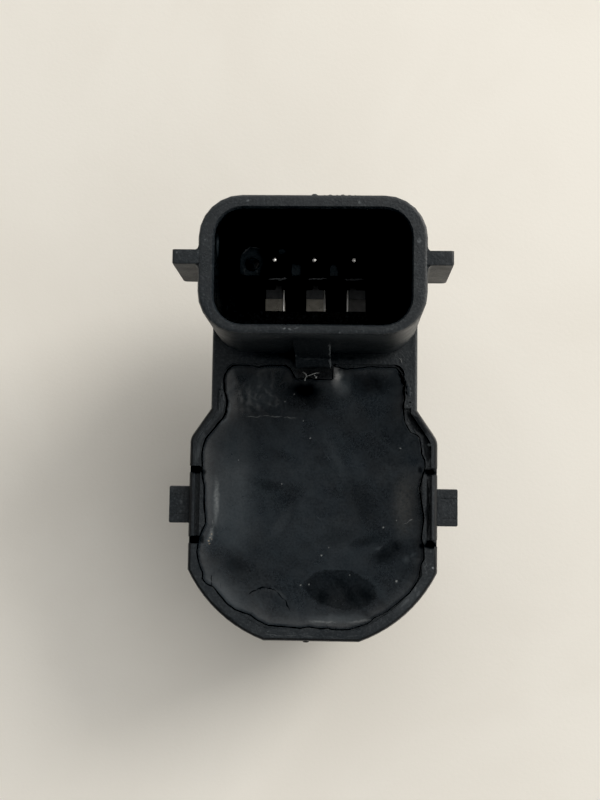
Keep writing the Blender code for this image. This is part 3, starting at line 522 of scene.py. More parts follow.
def soften(piece: Object, sharp_deg: float = 32.0) -> None:
    """Shades a piece smoothly, with sharp edges kept sharp and flat faces flat.

    Args:
        piece: the object.
        sharp_deg: an edge sharper than this stays sharp.
    """
    mesh = piece.data
    mesh.polygons.foreach_set("use_smooth", [True] * len(mesh.polygons))
    shape = bmesh.new()
    shape.from_mesh(mesh)
    for edge in shape.edges:
        edge.smooth = len(edge.link_faces) != 2 or edge.calc_face_angle(0.0) < math.radians(sharp_deg)
    shape.to_mesh(mesh)
    shape.free()
    piece.modifiers.new("weights", "WEIGHTED_NORMAL").keep_sharp = True


def finished(piece: Object, materials: list[Material], replaces: str = "",
             pick: Callable[[Vector, Vector], int] | None = None) -> None:
    """Dresses a piece and ties it to the body.

    Args:
        piece: the object.
        materials: its materials.
        replaces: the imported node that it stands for, if any.
        pick: tells a face's material from its centre, in millimetres, and its normal.
    """
    piece.data.materials.clear()
    for material in materials:
        piece.data.materials.append(material)
    if pick:
        for face in piece.data.polygons:
            face.material_index = pick(face.center / MM, face.normal)
    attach(piece, "root")
    if replaces:
        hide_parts(replaces)
    log.info("%s: %d faces", piece.name, len(piece.data.polygons))


def dense(line: list[Point2], step: float, jitter: float, seed: float) -> list[Point2]:
    """A closed line with more points and a small wander.

    Args:
        line: its corners.
        step: the spacing of the new points.
        jitter: how far they wander.
        seed: picks the wander.
    Returns:
        The new points.
    """
    made: list[Point2] = []
    for (ax, ay), (bx, by) in zip(line, line[1:] + line[:1]):
        count = max(1, round(math.hypot(bx - ax, by - ay) / step))
        for i in range(count):
            x, y = ax + (bx - ax) * i / count, ay + (by - ay) * i / count
            dx, dy = (noise.noise((x * 1.3, y * 1.3, s)) + 0.5 * noise.noise((x * 3.7, y * 3.7, s))
                      for s in (seed, seed + 9.0))
            made.append((x + jitter * dx, y + jitter * dy))
    return made


def offset(line: list[Point2], distance: float) -> list[Point2]:
    """Moves a closed line sideways.

    Args:
        line: its points.
        distance: how far it moves, outwards where positive.
    Returns:
        The moved points.
    """
    area = sum(a[0] * b[1] - b[0] * a[1] for a, b in zip(line, line[1:] + line[:1]))
    side = math.copysign(distance, area)
    made = []
    for before, here, after in zip(line[-1:] + line[:-1], line, line[1:] + line[:1]):
        tangent = Vector((after[0] - before[0], after[1] - before[1])).normalized()
        made.append((here[0] + side * tangent.y, here[1] - side * tangent.x))
    return made


def bell(x: np.ndarray, y: np.ndarray, place: Point2, size: Point2, power: int = 2) -> np.ndarray:
    """A smooth hump of height 1.

    Args:
        x: the points' x.
        y: the points' y.
        place: its centre.
        size: its half widths.
        power: 2 for a round top, 4 for a flatter one.
    Returns:
        Its height at each point.
    """
    return np.exp(-((x - place[0]) / size[0]) ** power - ((y - place[1]) / size[1]) ** power)


def ripples(points: np.ndarray, rows: tuple[Point3, ...]) -> np.ndarray:
    """A sum of noise waves.

    Args:
        points: x and y, one row for each point.
        rows: the height, the frequency and the seed of each wave.
    Returns:
        Its height at each point.
    """
    return np.array([sum(high * noise.noise((x * often, y * often, seed)) for high, often, seed in rows)
                     for x, y in points])


# The sensor's own pieces

@dataclass(frozen=True)
class Crack:
    """The shrinkage crack round the potting, clockwise from its upper left corner: x, y and width."""

    wander: float = 0.035
    points: tuple[Point3, ...] = (
        (-8.7, 13.19, 0.1), (-8.34, 13.67, 0.11), (-8, 13.88, 0.11), (-7.6, 13.96, 0.09),
        (-6.2, 13.95, 0.07), (-5.6, 13.78, 0.07), (-4, 13.99, 0.09), (-2.79, 13.95, 0.08),
        (-2.29, 13.53, 0.09), (-1.81, 12.63, 0.07), (-1.2, 12.66, 0.07), (-0.8, 12.78, 0.07),
        (0.01, 12.62, 0.07), (1.64, 12.62, 0.07), (1.8, 12.75, 0.07), (1.86, 13.93, 0.07),
        (3.12, 13.67, 0.08), (4.73, 13.81, 0.07), (5.14, 13.92, 0.07), (7.56, 13.87, 0.07),
        (7.99, 13.83, 0.07), (8.42, 13.3, 0.12), (8.5, 12.75, 0.16), (8.8, 12.15, 0.2), (8.72, 11.5, 0.22),
        (8.84, 11, 0.12), (8.68, 10.02, 0.14), (8.77, 8.84, 0.11), (8.87, 8.48, 0.11), (9.4, 7.55, 0.08),
        (9.99, 7.31, 0.07), (10.29, 7.05, 0.07), (10.51, 5.45, 0.13), (10.8, 4.75, 0.14),
        (10.82, 4.2, 0.09), (10.27, 2.06, 0.13), (10.72, -0.71, 0.1), (10.49, -2.65, 0.09),
        (10.73, -3.64, 0.09), (10.76, -4.64, 0.09), (10.48, -5.18, 0.07), (10.29, -6.35, 0.09),
        (9.93, -7.11, 0.09), (9.31, -7.95, 0.09), (7.16, -9.75, 0.07), (5.94, -10.35, 0.07),
        (5.7, -10.66, 0.07), (5.19, -10.95, 0.09), (3.71, -11.43, 0.09), (2.9, -11.48, 0.1),
        (1.9, -11.45, 0.1), (1.53, -11.33, 0.1), (0.94, -11.4, 0.11), (-0.21, -11.26, 0.11),
        (-1, -11.38, 0.12), (-4.14, -11.19, 0.12), (-5.18, -10.71, 0.14), (-5.83, -10.23, 0.13),
        (-7.38, -9.73, 0.15), (-8.18, -9.1, 0.15), (-9.5, -7.6, 0.12), (-10.04, -7.36, 0.11),
        (-10.32, -7.12, 0.12), (-10.57, -6.81, 0.11), (-10.52, -6.37, 0.1), (-10.92, -5.46, 0.12),
        (-11.15, -4.29, 0.13), (-10.99, -2.91, 0.1), (-10.41, -1.59, 0.13), (-10.39, -1.39, 0.14),
        (-10.54, 0.42, 0.16), (-10.56, 2, 0.14), (-10.8, 3.15, 0.11), (-10.84, 5.38, 0.16),
        (-10.75, 6, 0.15), (-10.46, 6.76, 0.15), (-8.85, 8.8, 0.17), (-8.61, 9.32, 0.17),
        (-8.51, 10.22, 0.17), (-8.54, 10.6, 0.16), (-8.8, 11.37, 0.16), (-8.84, 12.59, 0.14),
        (-8.77, 13, 0.11))

    def line(self, step: float, jitter: float, seed: float) -> list[Point2]:
        """The crack's middle line with points at every step, as dense gives it."""
        return dense([(x, y) for x, y, _ in self.points], step, jitter, seed)

    def side(self, share: float) -> list[Point2]:
        """One torn side of the crack.

        Args:
            share: -0.5 for the resin's side, 0.5 for the housing's side.
        Returns:
            Its points.
        """
        line = self.line(0.2, self.wander, 3.0)
        moved = []
        for (x, y), (ox, oy) in zip(line, offset(line, 1.0)):
            near_points = sorted((math.hypot(x - a, y - b), wide) for a, b, wide in self.points)
            (near, first), (far, second) = near_points[:2]
            width = (first * far + second * near) / (near + far + 1e-6)
            width *= share * (1.0 + 0.4 * noise.noise((x * 1.4, y * 1.4, 6.0)))
            moved.append((x + (ox - x) * width, y + (oy - y) * width))
        return moved

    def distance(self, points: np.ndarray) -> np.ndarray:
        """How far points lie from the crack's middle line.

        Args:
            points: x and y, one row for each point.
        Returns:
            Their distances.
        """
        start = np.array(self.points)[:, :2]
        run = np.roll(start, -1, axis=0) - start
        share = ((points[:, None, :] - start[None]) * run[None]).sum(2) / (run ** 2).sum(1)[None]
        near = start[None] + np.clip(share, 0.0, 1.0)[..., None] * run[None]
        return np.sqrt(((points[:, None, :] - near) ** 2).sum(2)).min(1)


@dataclass
class Potting:
    """The cured resin over the board, which has shrunk away from the wall and left a crack."""

    crack: Crack
    level: float = 16.55
    skin_low: float = 16.2
    body_cut: float = 16.35
    middle: Point2 = (0.0, 1.2)
    size: Point2 = (23.0, 27.0)
    cell: float = 0.15
    dish: float = 0.22
    dish_reach: float = 4.0
    wall_rise: float = 0.42
    wall_reach: float = 1.3
    edge_drop: float = 0.1
    edge_reach: float = 0.07
    blister_place: Point2 = (-4.05, -9.55)
    blister_radius: float = 1.9
    blister_height: float = 0.02
    blister_turn: Point3 = (5.0, 45.0, 150.0)
    broad_brim: tuple[Point2, Point2] = ((-8.2, -7.4), (3.6, 3.4))
    step_x: float = -7.05
    step_height: float = 0.035
    hollow: tuple[Point2, Point2] = ((2.6, 13.5), (0.9, 1.3))
    hollow_depth: float = 0.3
    crumple: tuple[Point2, Point2] = ((-5.2, 11.2), (2.4, 1.9))
    swirl_place: Point2 = (-5.7, 11.3)
    swirl_height: float = 0.014
    waves: tuple[Point3, ...] = ((0.05, 0.16, 1.7), (0.014, 0.45, 4.2))
    creases: tuple[Point3, ...] = ((0.04, 0.9, 2.4), (0.07, 2.2, 5.1))
    lower_border: float = -4.5
    upper_border: float = 4.5

    def lift(self, points: np.ndarray) -> np.ndarray:
        """How high the skin stands.

        Args:
            points: x and y, one row for each point.
        Returns:
            The heights.
        """
        x, y = points.T
        far = self.crack.distance(points)
        # the brim at the wall, which is broader at the lower left, and the torn edge
        broad = bell(x, y, *self.broad_brim)
        rise = self.dish * np.exp(-far / self.dish_reach) - self.edge_drop * np.exp(-far / self.edge_reach)
        rise += self.wall_rise * np.exp(-far / (self.wall_reach + 0.9 * broad))
        # the blister's ridge, with a groove round its upper side
        away = np.hypot(x - self.blister_place[0], y - self.blister_place[1]) - self.blister_radius
        turn = np.degrees(np.arctan2(y - self.blister_place[1], x - self.blister_place[0]))
        start, full, end = self.blister_turn
        arc = np.clip((turn - start) / (full - start), 0.0, 1.0) * np.clip((end - turn) / 50.0, 0.0, 1.0)
        rise += self.blister_height * arc * (np.exp(-((away + 0.5) / 0.4) ** 2) - np.exp(-(away / 0.12) ** 2))
        # the step beside the left wall, the hollow beside the tab, and the swirl in the crumpled corner
        rise -= self.step_height * np.tanh((x - self.step_x) / 0.7) * np.exp(-((y - 2.2) / 4.6) ** 4)
        rise -= self.hollow_depth * bell(x, y, *self.hollow)
        crumpled = bell(x, y, *self.crumple, 4)
        swirl = np.hypot(x - self.swirl_place[0], y - self.swirl_place[1])
        rise += self.swirl_height * np.sin(12.0 * swirl) * np.exp(-swirl ** 2)
        return self.level + rise + ripples(points, self.waves) + crumpled * ripples(points, self.creases)

    def build(self, finish: Finish) -> None:
        """Builds the potting from a copy of its solid and a wavy skin inside the crack.

        Args:
            finish: the resin's finish.
        """
        body = copy_of("potting_fill")
        cut = bmesh.ops.bisect_plane(
            body, geom=body.verts[:] + body.edges[:] + body.faces[:], dist=1e-7, clear_outer=True,
            plane_co=(0.0, 0.0, self.body_cut * MM), plane_no=(0.0, 0.0, 1.0))
        bmesh.ops.contextual_create(body, geom=[e for e in cut["geom_cut"] if isinstance(e, BMEdge)])
        bmesh.ops.recalc_face_normals(body, faces=body.faces)

        skin = bmesh.new()
        wide, long = self.size
        bmesh.ops.create_grid(
            skin, x_segments=round(wide / self.cell), y_segments=round(long / self.cell), size=0.5,
            matrix=Matrix.LocRotScale(Vector((*self.middle, self.skin_low)) * MM, None,
                                      Vector((wide * MM, long * MM, 1.0))))
        grown = bmesh.ops.extrude_face_region(skin, geom=skin.faces[:])
        top = [v for v in grown["geom"] if isinstance(v, BMVert)]
        for vert, high in zip(top, self.lift(np.array([[v.co.x / MM, v.co.y / MM] for v in top]))):
            vert.co.z = high * MM
        bmesh.ops.recalc_face_normals(skin, faces=skin.faces)

        piece = object_of("potting_resin", skin)
        combine(piece, "INTERSECT", [prism(self.crack.side(-0.5), self.skin_low - 1.0, 18.5)])
        combine(piece, "UNION", [body])
        soften(piece, 40.0)
        strips = {"lower": (-20.0, self.lower_border), "middle": (self.lower_border, self.upper_border),
                  "upper": (self.upper_border, 20.0)}
        finished(piece, [zone.build() for zone in finish.zones(strips)], "potting_fill",
                 lambda centre, normal: (centre.y >= self.lower_border) + (centre.y >= self.upper_border))


@dataclass
class Housing:
    """The one-piece moulding, with a ragged inner edge where the potting tore away from it."""

    crack: Crack
    ledge_z: float = 17.17
    ledge_low_z: float = 16.5
    ledge_width: float = 0.38
    ledge_half_x: float = 10.62
    edge_width: float = 0.13
    torn_edge_width: float = 0.045
    wing_root_x: float = 10.13
    wing_y: Point2 = (21.3, 22.6)
    wing_z: Point2 = (21.7, 29.7)
    wing_fillet: float = 0.4
    mouth_far_y: float = 27.6
    mouth_z: float = 30.0
    lug_z: float = 16.7
    crept_z: float = 17.08
    socket_half_x: float = 8.73
    socket_y: Point2 = (15.57, 26.4)
    socket_z: Point2 = (12.0, 29.7)
    socket_middle_y: float = 21.0
    corner_x: float = 7.4
    corner_y: Point2 = (17.0, 25.0)
    edge_far_y: float = 9.5
    edge_z: Point2 = (17.1, 17.5)
    edge_tilt: Point2 = (0.1, 0.93)
    shroud_z: float = 17.9
    front_z: float = 8.5
    shortest_edge: float = 0.3
    sharp_deg: float = 50.0
    torn_deg: float = 60.0
    weld: float = 0.002

    def ledge(self) -> BMesh:
        """The resin's torn edge that stays on the wall.

        Returns:
            Its shape, before the ragged line is cut.
        """
        line = self.crack.line(0.5, 0.0, 0.0)
        for _ in range(3):
            line = [((a[0] + 2.0 * b[0] + c[0]) / 4.0, (a[1] + 2.0 * b[1] + c[1]) / 4.0)
                    for a, b, c in zip(line[-1:] + line[:-1], line, line[1:] + line[:1])]
        wide = self.ledge_half_x
        return prism([(min(max(x, -wide), wide), y) for x, y in offset(line, self.ledge_width)],
                     self.ledge_low_z, self.ledge_z)

    def crept_resin(self) -> list[BMesh]:
        """The resin that crept into the grooves behind the two side bars."""
        return [block((x - 0.3, -2.8, 16.5), (x + 0.3, 3.4, self.crept_z)) for x in (-11.2, 11.2)]

    def fillets(self) -> list[BMesh]:
        """The small hollow fillets where the guide wings meet the shroud.

        Returns:
            A shape for each.
        """
        made = []
        for side in (-1.0, 1.0):
            for y, way in zip(self.wing_y, (-1.0, 1.0)):
                x, r = side * self.wing_root_x, self.wing_fillet
                arc = [(x + side * r * (1.0 - math.cos(a)), y + way * r * (1.0 - math.sin(a)))
                       for a in (math.radians(k * 18.0) for k in range(6))]
                corner = [(x - side * 0.3, y + way * r), *arc, (x + side * r, y - way * 0.3),
                          (x - side * 0.3, y - way * 0.3)]
                made.append(prism(corner, *self.wing_z))
        return made

    def flash(self) -> list[BMesh]:
        """The torn flash on the mouth's far edge and the gate's stub under the rim.

        Returns:
            A shape for each.
        """
        made = []
        for x, size in ((0.1, 0.2), (1.0, 0.1), (1.5, 0.14), (2.1, 0.11), (2.6, 0.15), (3.2, 0.12),
                        (3.7, 0.1)):
            made.append(bmesh.new())
            bead(made[-1], (x, self.mouth_far_y - 0.04, self.mouth_z - 0.5), size, (1.6, 1.0, 1.4))
        made.append(bmesh.new())
        bead(made[-1], (-0.5, -12.58, 16.9), 0.3, (1.2, 0.6, 1.0))
        return made

    def scored_lines(self) -> list[BMesh]:
        """The fine lines across the two snap lugs."""
        bottom, top = self.lug_z - 0.06, self.lug_z + 0.3
        return [block((low, y - 0.05, bottom), (high, y + 0.05, top)) for low, high, y in (
            (-14.2, -12.5, 1.27), (-14.2, -12.4, -0.61), (12.4, 14.2, 1.2), (12.5, 14.2, -0.72))]

    def build(self, outside: Finish, inside: Finish, edges: Finish) -> None:
        """Builds the housing from a copy of its solid.

        Args:
            outside: the finish of the moulding's grained outside.
            inside: the finish of the plug socket's smooth inside, darkened as painted shade.
            edges: the finish of the body's rounded outer edges, darkened as painted shade.
        """
        piece = object_of("housing_moulding", copy_of("housing"))
        ragged = prism(self.crack.side(0.5), self.ledge_low_z - 0.2, 18.2)
        combine(piece, "UNION", [self.ledge(), *self.fillets(), *self.flash(), *self.crept_resin()])
        combine(piece, "DIFFERENCE", [ragged, *self.scored_lines()])
        self.break_edges(piece)
        soften(piece)
        body, shroud = outside.zones({"body": (-20.0, 15.0), "shroud": (13.5, 30.0)})
        finished(piece, [f.build() for f in (body, inside, edges, shroud)], "housing",
                 self.part)

    def part(self, centre: Vector, normal: Vector) -> int:
        """Sorts a face: 0 the body, 1 the socket's inside in painted shade, 2 the rounded edge in painted
        shade, 3 the shroud.

        Args:
            centre: the face's centre, in millimetres.
            normal: its normal.
        Returns:
            The number of its material.
        """
        outwards = normal.dot(Vector((centre.x, centre.y - self.socket_middle_y, 0.0))) > 0.0
        corner = abs(centre.x) > self.corner_x and not self.corner_y[0] < centre.y < self.corner_y[1]
        if (abs(centre.x) < self.socket_half_x and self.socket_y[0] < centre.y < self.socket_y[1]
                and self.socket_z[0] < centre.z < self.socket_z[1] and not (corner and outwards)):
            return 1
        outer = Vector((centre.x, min(centre.y, 0.0), 0.0))
        if (centre.y < self.edge_far_y and self.edge_z[0] < centre.z < self.edge_z[1]
                and self.edge_tilt[0] < normal.z < self.edge_tilt[1] and normal.dot(outer) > 0.0):
            return 2
        return 3 if centre.z > self.shroud_z else 0

    def break_edges(self, piece: Object) -> None:
        """Breaks the sharp outer edges, as a worn mould leaves them, and the torn edge of the resin.

        Args:
            piece: the housing.
        """
        shape = bmesh.new()
        shape.from_mesh(piece.data)
        bmesh.ops.remove_doubles(shape, verts=shape.verts, dist=self.weld * MM)
        bmesh.ops.dissolve_degenerate(shape, edges=shape.edges, dist=self.weld * MM)
        rounded(shape, [e for e in shape.edges if self.catches_light(e)], self.edge_width)
        torn = [e for e in shape.edges if all(abs(v.co.z - self.ledge_z * MM) < 0.01 * MM for v in e.verts)
                and len(e.link_faces) == 2 and e.is_convex
                and e.calc_face_angle(0.0) > math.radians(self.torn_deg)]
        rounded(shape, torn, self.torn_edge_width, 1)
        shape.to_mesh(piece.data)
        shape.free()

    def catches_light(self, edge: BMEdge) -> bool:
        """Whether an edge is a sharp outer corner above the body's front.

        Args:
            edge: an edge of the housing.
        Returns:
            True where it is to be rounded.
        """
        if len(edge.link_faces) != 2 or not edge.is_convex or edge.calc_length() < self.shortest_edge * MM:
            return False
        high = (edge.verts[0].co.z + edge.verts[1].co.z) / 2.0 > self.front_z * MM
        return high and edge.calc_face_angle(0.0) >= math.radians(self.sharp_deg)


@dataclass
class Contact:
    """One tin-plated contact: a pin with a tapered tip, and a coined blade in the trough."""

    node: str
    blade_x: float
    bright_side: float
    pin_x: float
    blade_half: float = 0.95
    blade_top: float = 16.01
    low_y: float = 18.2
    step_y: float = 20.76
    step: float = 0.14
    coined_wider: float = 0.04
    coined_deep: float = 0.3
    coined_edge: float = 0.06
    fold_half: float = 0.09
    fold_inset: float = 0.12
    fold_rise: float = 0.12
    fold_deep: float = 0.2
    fold_longer: float = 0.95
    tip_low_z: float = 23.3
    tip_high_z: float = 24.33
    tip_root_radius: float = 0.42
    tip_radius: float = 0.2
    tip_y: float = 22.92
    pin_y: float = 23.1

    def build(self, blade: Material, glint: Material, dark: Material) -> None:
        """Builds the contact from a copy of its solid.

        Args:
            blade: the material of the blade's coined end.
            glint: the material of the fold beside it and of the pin's tip, a painted glint.
            dark: the material of the rest, darkened as painted shade.
        """
        piece = object_of(self.node + "_plated", copy_of(self.node))
        half, top = self.blade_half + self.coined_wider, self.blade_top + self.step
        coined = block((self.blade_x - half, self.low_y, self.blade_top - self.coined_deep),
                       (self.blade_x + half, self.step_y, top), self.coined_edge)
        side = self.blade_x + self.bright_side * (self.blade_half - self.fold_inset)
        fold = block((side - self.fold_half, self.low_y, self.blade_top - self.fold_deep),
                     (side + self.fold_half, self.step_y + self.fold_longer, top + self.fold_rise),
                     self.fold_half)
        combine(piece, "DIFFERENCE", [block((self.pin_x - 1.0, self.pin_y - 1.0, self.tip_low_z),
                                            (self.pin_x + 1.0, self.pin_y + 1.0, self.tip_high_z + 1.0))])
        combine(piece, "UNION", [coined, fold, self.tip()])
        soften(piece)
        finished(piece, [blade, glint, dark], self.node, self.part)

    def part(self, centre: Vector, normal: Vector) -> int:
        """Sorts a face: 0 the coined end, 1 the fold and the tip, 2 the rest.

        Args:
            centre: the face's centre, in millimetres.
            normal: its normal, which plays no part here.
        Returns:
            The number of its material.
        """
        if centre.z > self.tip_high_z - 0.02:
            return 1
        if self.blade_top + 0.02 < centre.z < 16.6 and centre.y < self.step_y + 1.6:
            return 1 if centre.z > self.blade_top + self.step + 0.02 else 0
        return 2

    def tip(self) -> BMesh:
        """The pin's coined tip: a leaning cone with a small round end that catches the light.

        Returns:
            Its shape, in metres.
        """
        shape = bmesh.new()
        tall = self.tip_high_z - self.tip_low_z + 0.1
        bmesh.ops.create_cone(shape, cap_ends=True, segments=24, radius1=self.tip_root_radius * MM,
                              radius2=self.tip_radius * MM, depth=tall * MM)
        cap = [f for f in shape.faces if all(v.co.z > 0.0 for v in f.verts)]
        for rise in (0.045, 0.03, 0.02):
            bmesh.ops.inset_region(shape, faces=cap, thickness=0.06 * MM, depth=rise * MM)
        for vert in shape.verts:
            share = vert.co.z / (tall * MM) + 0.5
            lean = (self.tip_y - self.pin_y) * share
            vert.co += Vector((self.pin_x, self.pin_y + lean, self.tip_low_z - 0.1 + 0.5 * tall)) * MM
        return shape


@dataclass
class Residue:
    """Small leftovers: pale strings under the latch's foot, a hair, and beads of resin at the neck."""

    thread: float = 0.045
    tab_z: float = 17.52

    def tube(self, shape: BMesh, line: list[Point3], radius: float) -> None:
        """Adds a thin tube with tapered ends.

        Args:
            shape: the mesh it is added to.
            line: its middle line, with heights above the tab.
            radius: its radius.
        """
        path = [Vector((x, y, self.tab_z + self.thread + z)) * MM for x, y, z in line]
        rings = []
        for number, here in enumerate(path):
            ahead = path[min(number + 1, len(path) - 1)] - path[max(number - 1, 0)]
            last = number in (0, len(path) - 1)
            ring = bmesh.ops.create_circle(
                shape, cap_ends=last, segments=7, radius=radius * MM * (0.35 if last else 1.0),
                matrix=Matrix.LocRotScale(here, ahead.to_track_quat("Z", "Y"), None))
            rings.append(ring["verts"])
        for first, second in zip(rings, rings[1:]):
            edges = {e for v in first + second for e in v.link_edges
                     if all(w in first for w in e.verts) or all(w in second for w in e.verts)}
            bmesh.ops.bridge_loops(shape, edges=list(edges))

    def strings(self, material: Material) -> None:
        """Lays the pale strings on the tab and the hair on the flange.

        Args:
            material: their material.
        """
        shape = bmesh.new()
        for line, radius in (
            ([(-1.15, 13.26, 0), (-0.91, 13.17, 0.06), (-0.75, 12.9, 0.02), (-0.86, 12.66, 0),
              (-0.92, 12.5, 0)], 1.0),
            ([(-0.75, 12.86, 0), (-0.45, 12.96, 0.07), (-0.1, 13.12, 0.03), (0.2, 13.2, 0), (0.5, 13.2, 0)],
             1.0),
            ([(-0.1, 13.1, 0), (0.05, 12.92, 0.03), (0.17, 12.75, 0)], 1.0),
            ([(8.2, 14.75, 0), (8.42, 14.58, 0.05), (8.46, 14.4, 0.03), (8.52, 14.2, 0)], 0.4),
        ):
            self.tube(shape, line, radius * self.thread)
        for x, y, size in ((0.17, 12.78, 0.1), (-0.92, 12.5, 0.07)):
            bead(shape, (x, y, self.tab_z + 0.5 * size), size, (1.0, 1.2, 0.7))
        bmesh.ops.recalc_face_normals(shape, faces=shape.faces)
        self.add_piece("resin_strings", shape, material)

    def beads(self, material: Material) -> None:
        """Lays the smeared beads of resin beside the crack at the neck.

        Args:
            material: their material.
        """
        shape = bmesh.new()
        for x, y, size, flat in ((9.12, 12.02, 0.2, 0.3), (9.2, 11.62, 0.26, 0.25), (9.24, 11.2, 0.22, 0.3),
                                 (9.3, 10.86, 0.16, 0.3), (9.5, 10.62, 0.12, 0.35), (-9.0, 10.9, 0.1, 0.4)):
            bead(shape, (x, y, self.tab_z - 0.06), size, (0.8, 1.25, flat), 3)
        for vert in shape.verts:
            vert.co += vert.normal * noise.noise(vert.co / (0.16 * MM)) * 0.03 * MM
        self.add_piece("resin_beads", shape, material)

    def add_piece(self, name: str, shape: BMesh, material: Material) -> None:
        """Makes one finished piece of the residue.

        Args:
            name: its name.
            shape: its shape, in metres.
            material: its material.
        """
        piece = object_of(name, shape)
        soften(piece, 60.0)
        finished(piece, [material])


# Finishes

HAZE_AND_SHEEN, WET, BLACK_SHADE, BROWN, PALE = Trace

# Glass-filled PBT, injection moulded: dull blue-black, slightly fibrous, paler where it is rubbed; its marks
# also paint shade into notches, gaps and the shroud's near wall, and highlights along some edges.
HOUSING_PBT = Finish(
    "glass_filled_pbt_moulded", "12181d", "191f24", 0.46, 0.07, ior=1.55, specular=0.38, mottle_mm=3.0,
    mottle_share=0.6, grain_mm=0.2, grain_depth_mm=0.03, fine=0.35, fine_mm=0.25, dust=0.35, dust_mm=0.5,
    pale="6f7579", pattern=Pattern.FIBRES, pattern_mm=0.25, pattern_colour="3a4145",
    marks=(
        # painted shade in the notches behind the bars and in the right groove, and darker patches at the tab
        # and on the right shelf
        *spots(WET, 17.4, 0.9, (0.1, 13.3, 2.6, 1, 0, 0.9, 0.6)),
        *spots(BLACK_SHADE, 17, 1.3, *((x, y, 1.05, 0.5, 0, 1, 0.6) for x, y in (
            (-11.45, 3.65), (-11.45, -3.08), (11.3, 3.71), (11.3, -3.25)))),
        *spots(BLACK_SHADE, 17.2, 0.8, (10, 8.35, 1.75, 0.55, -50, 0.75, 0.7), (11, 6.1, 0.42, 1.7, 4, 0.7, 0.7)),
        *spots(BLACK_SHADE, 17, 0.7, (11.03, 0.2, 0.3, 3.2, 0, 0.7, 0.7)),
        # painted shade in the torn gap at the right neck
        *trail(BLACK_SHADE, [(8.45, 13.2), (8.78, 12.6), (8.95, 12.1), (8.9, 11.6), (9.05, 11)], 17.4, 0.12, 1),
        *spots(BLACK_SHADE, 17.4, 0.5, (9.33, 10.39, 0.22, 0.12, 0, 0.9)),
        # painted shade on the rim's outer band at the lower left, and painted highlights along the torn edge
        # at the left neck
        *trail(BLACK_SHADE, [(-11.87, -4.8), (-11.8, -6.4), (-10.9, -7.72), (-9.7, -9.05), (-8.5, -10),
                      (-6.8, -11.35)], 17.4, 0.24, 0.55),
        *trail(HAZE_AND_SHEEN, [(-8.97, 11.6), (-9, 9.8), (-9.6, 8.7), (-10.6, 7.5), (-11.15, 6.4), (-11.35, 4.4)],
               17.3, 0.32, 0.6),
        *trail(PALE, [(-9.16, 11.6), (-9.27, 10.5), (-9.25, 9.4)], 17.4, 0.07, 0.6),
        *trail(PALE, [(-9.02, 12.3), (-8.98, 11.2), (-8.74, 10.3), (-8.9, 9.3)], 17.3, 0.08, 0.5),
        # painted shade down the shroud's near wall and under the right wing
        *spots(BLACK_SHADE, 21.5, 9, (0, 15, 10, 0.9, 0, 0.6, 0.6)),
        *spots(BLACK_SHADE, 25.6, 5, (11.2, 21.2, 1.6, 0.4, 0, 0.45, 0.8)),
        # painted highlight along the latch's right edge, and a lighter band across its ramp
        *spots(PALE, 18.6, 1.5, (1.56, 14, 0.14, 0.7, 0, 0.9)),
        *spots(PALE, 22.5, 3.8, (1.56, 14.7, 0.12, 0.5, 0, 0.7)),
        *spots(HAZE_AND_SHEEN, 19.4, 0.25, (-0.2, 14.3, 1.6, 0.6, 0, 0.5)),
        # scuffs on the mouth's near edge and on the shroud below it
        *spots(PALE, 29.9, 0.6, (-2.42, 15.53, 0.2, 0.1, 20, 0.8), (-1.98, 15.54, 0.16, 0.1, -10, 0.8),
               (-1.4, 15.63, 0.3, 0.06, 0, 0.6)),
        *spots(PALE, 28, 0.2, (-3.13, 15.1, 0.3, 0.5, 0, 0.5)),
        *spots(PALE, 28, 0.14, (-4.2, 15.1, 0.4, 0.5, 0, 0.4)),
        *spots(PALE, 20.2, 0.5, (-1.72, 14.6, 0.25, 0.3, 20, 0.6)),
        *spots(PALE, 29.9, 0.5, (-5.78, 26.95, 0.14, 0.14, 0, 0.5), (4.12, 26.91, 0.12, 0.12, 0, 0.5),
               (9.3, 23.5, 0.2, 0.3, 0, 0.35)),
        # rubbed spots along the rim
        *spots(PALE, 17.2, 0.6, (11.18, 6.32, 0.17, 0.17)),
        *spots(PALE, 17.4, 0.5, (11.62, -5.52, 0.2, 0.16)),
        *spots(PALE, 17.5, 0.5, (9.9, -7.5, 0.3, 0.14, 60, 0.25), (10.2, -7.9, 0.4, 0.16, 70, 0.25),
               (8.9, -8.8, 0.5, 0.15, 55, 0.25), (9.2, -8.5, 0.35, 0.12, 65, 0.2)),
        *spots(HAZE_AND_SHEEN, 17.5, 0.5, (9.4, -8.3, 2.4, 0.7, 48, 0.25, 0.2)),
        *trail(PALE, [(11, -5), (10.9, -5.7), (11.1, -6.2)], 17.5, 0.06, 0.3),
        *trail(PALE, [(-4.5, -12), (-2.5, -12.15), (-1.2, -12), (0.6, -12.2)], 17.5, 0.05, 0.25),
        *trail(PALE, [(1.6, -12.1), (3.2, -12.2), (4.6, -11.9)], 17.5, 0.05, 0.2),
        *spots(PALE, 16.7, 0.3, (-12.9, 0.5, 0.2, 0.4, 15, 0.25)),
        *spots(HAZE_AND_SHEEN, 17.3, 0.5, (11.3, 4.75, 0.3, 0.45, 0, 0.5)),
    ))

# The same moulding on its rounded outer edges: darker and a little shinier than the grained faces; the darker
# colour is painted shade where the edges turn away from the light.
SHADED_EDGE_PBT = Finish(
    "glass_filled_pbt_painted_shade_edge", "07090b", "0c0f12", 0.36, 0.06, ior=1.55, specular=0.3, mottle_mm=0.8,
    mottle_share=0.8, grain_mm=0.15, grain_depth_mm=0.01, fine=0.3, fine_mm=0.18, veil_and_sheen="3a4145")

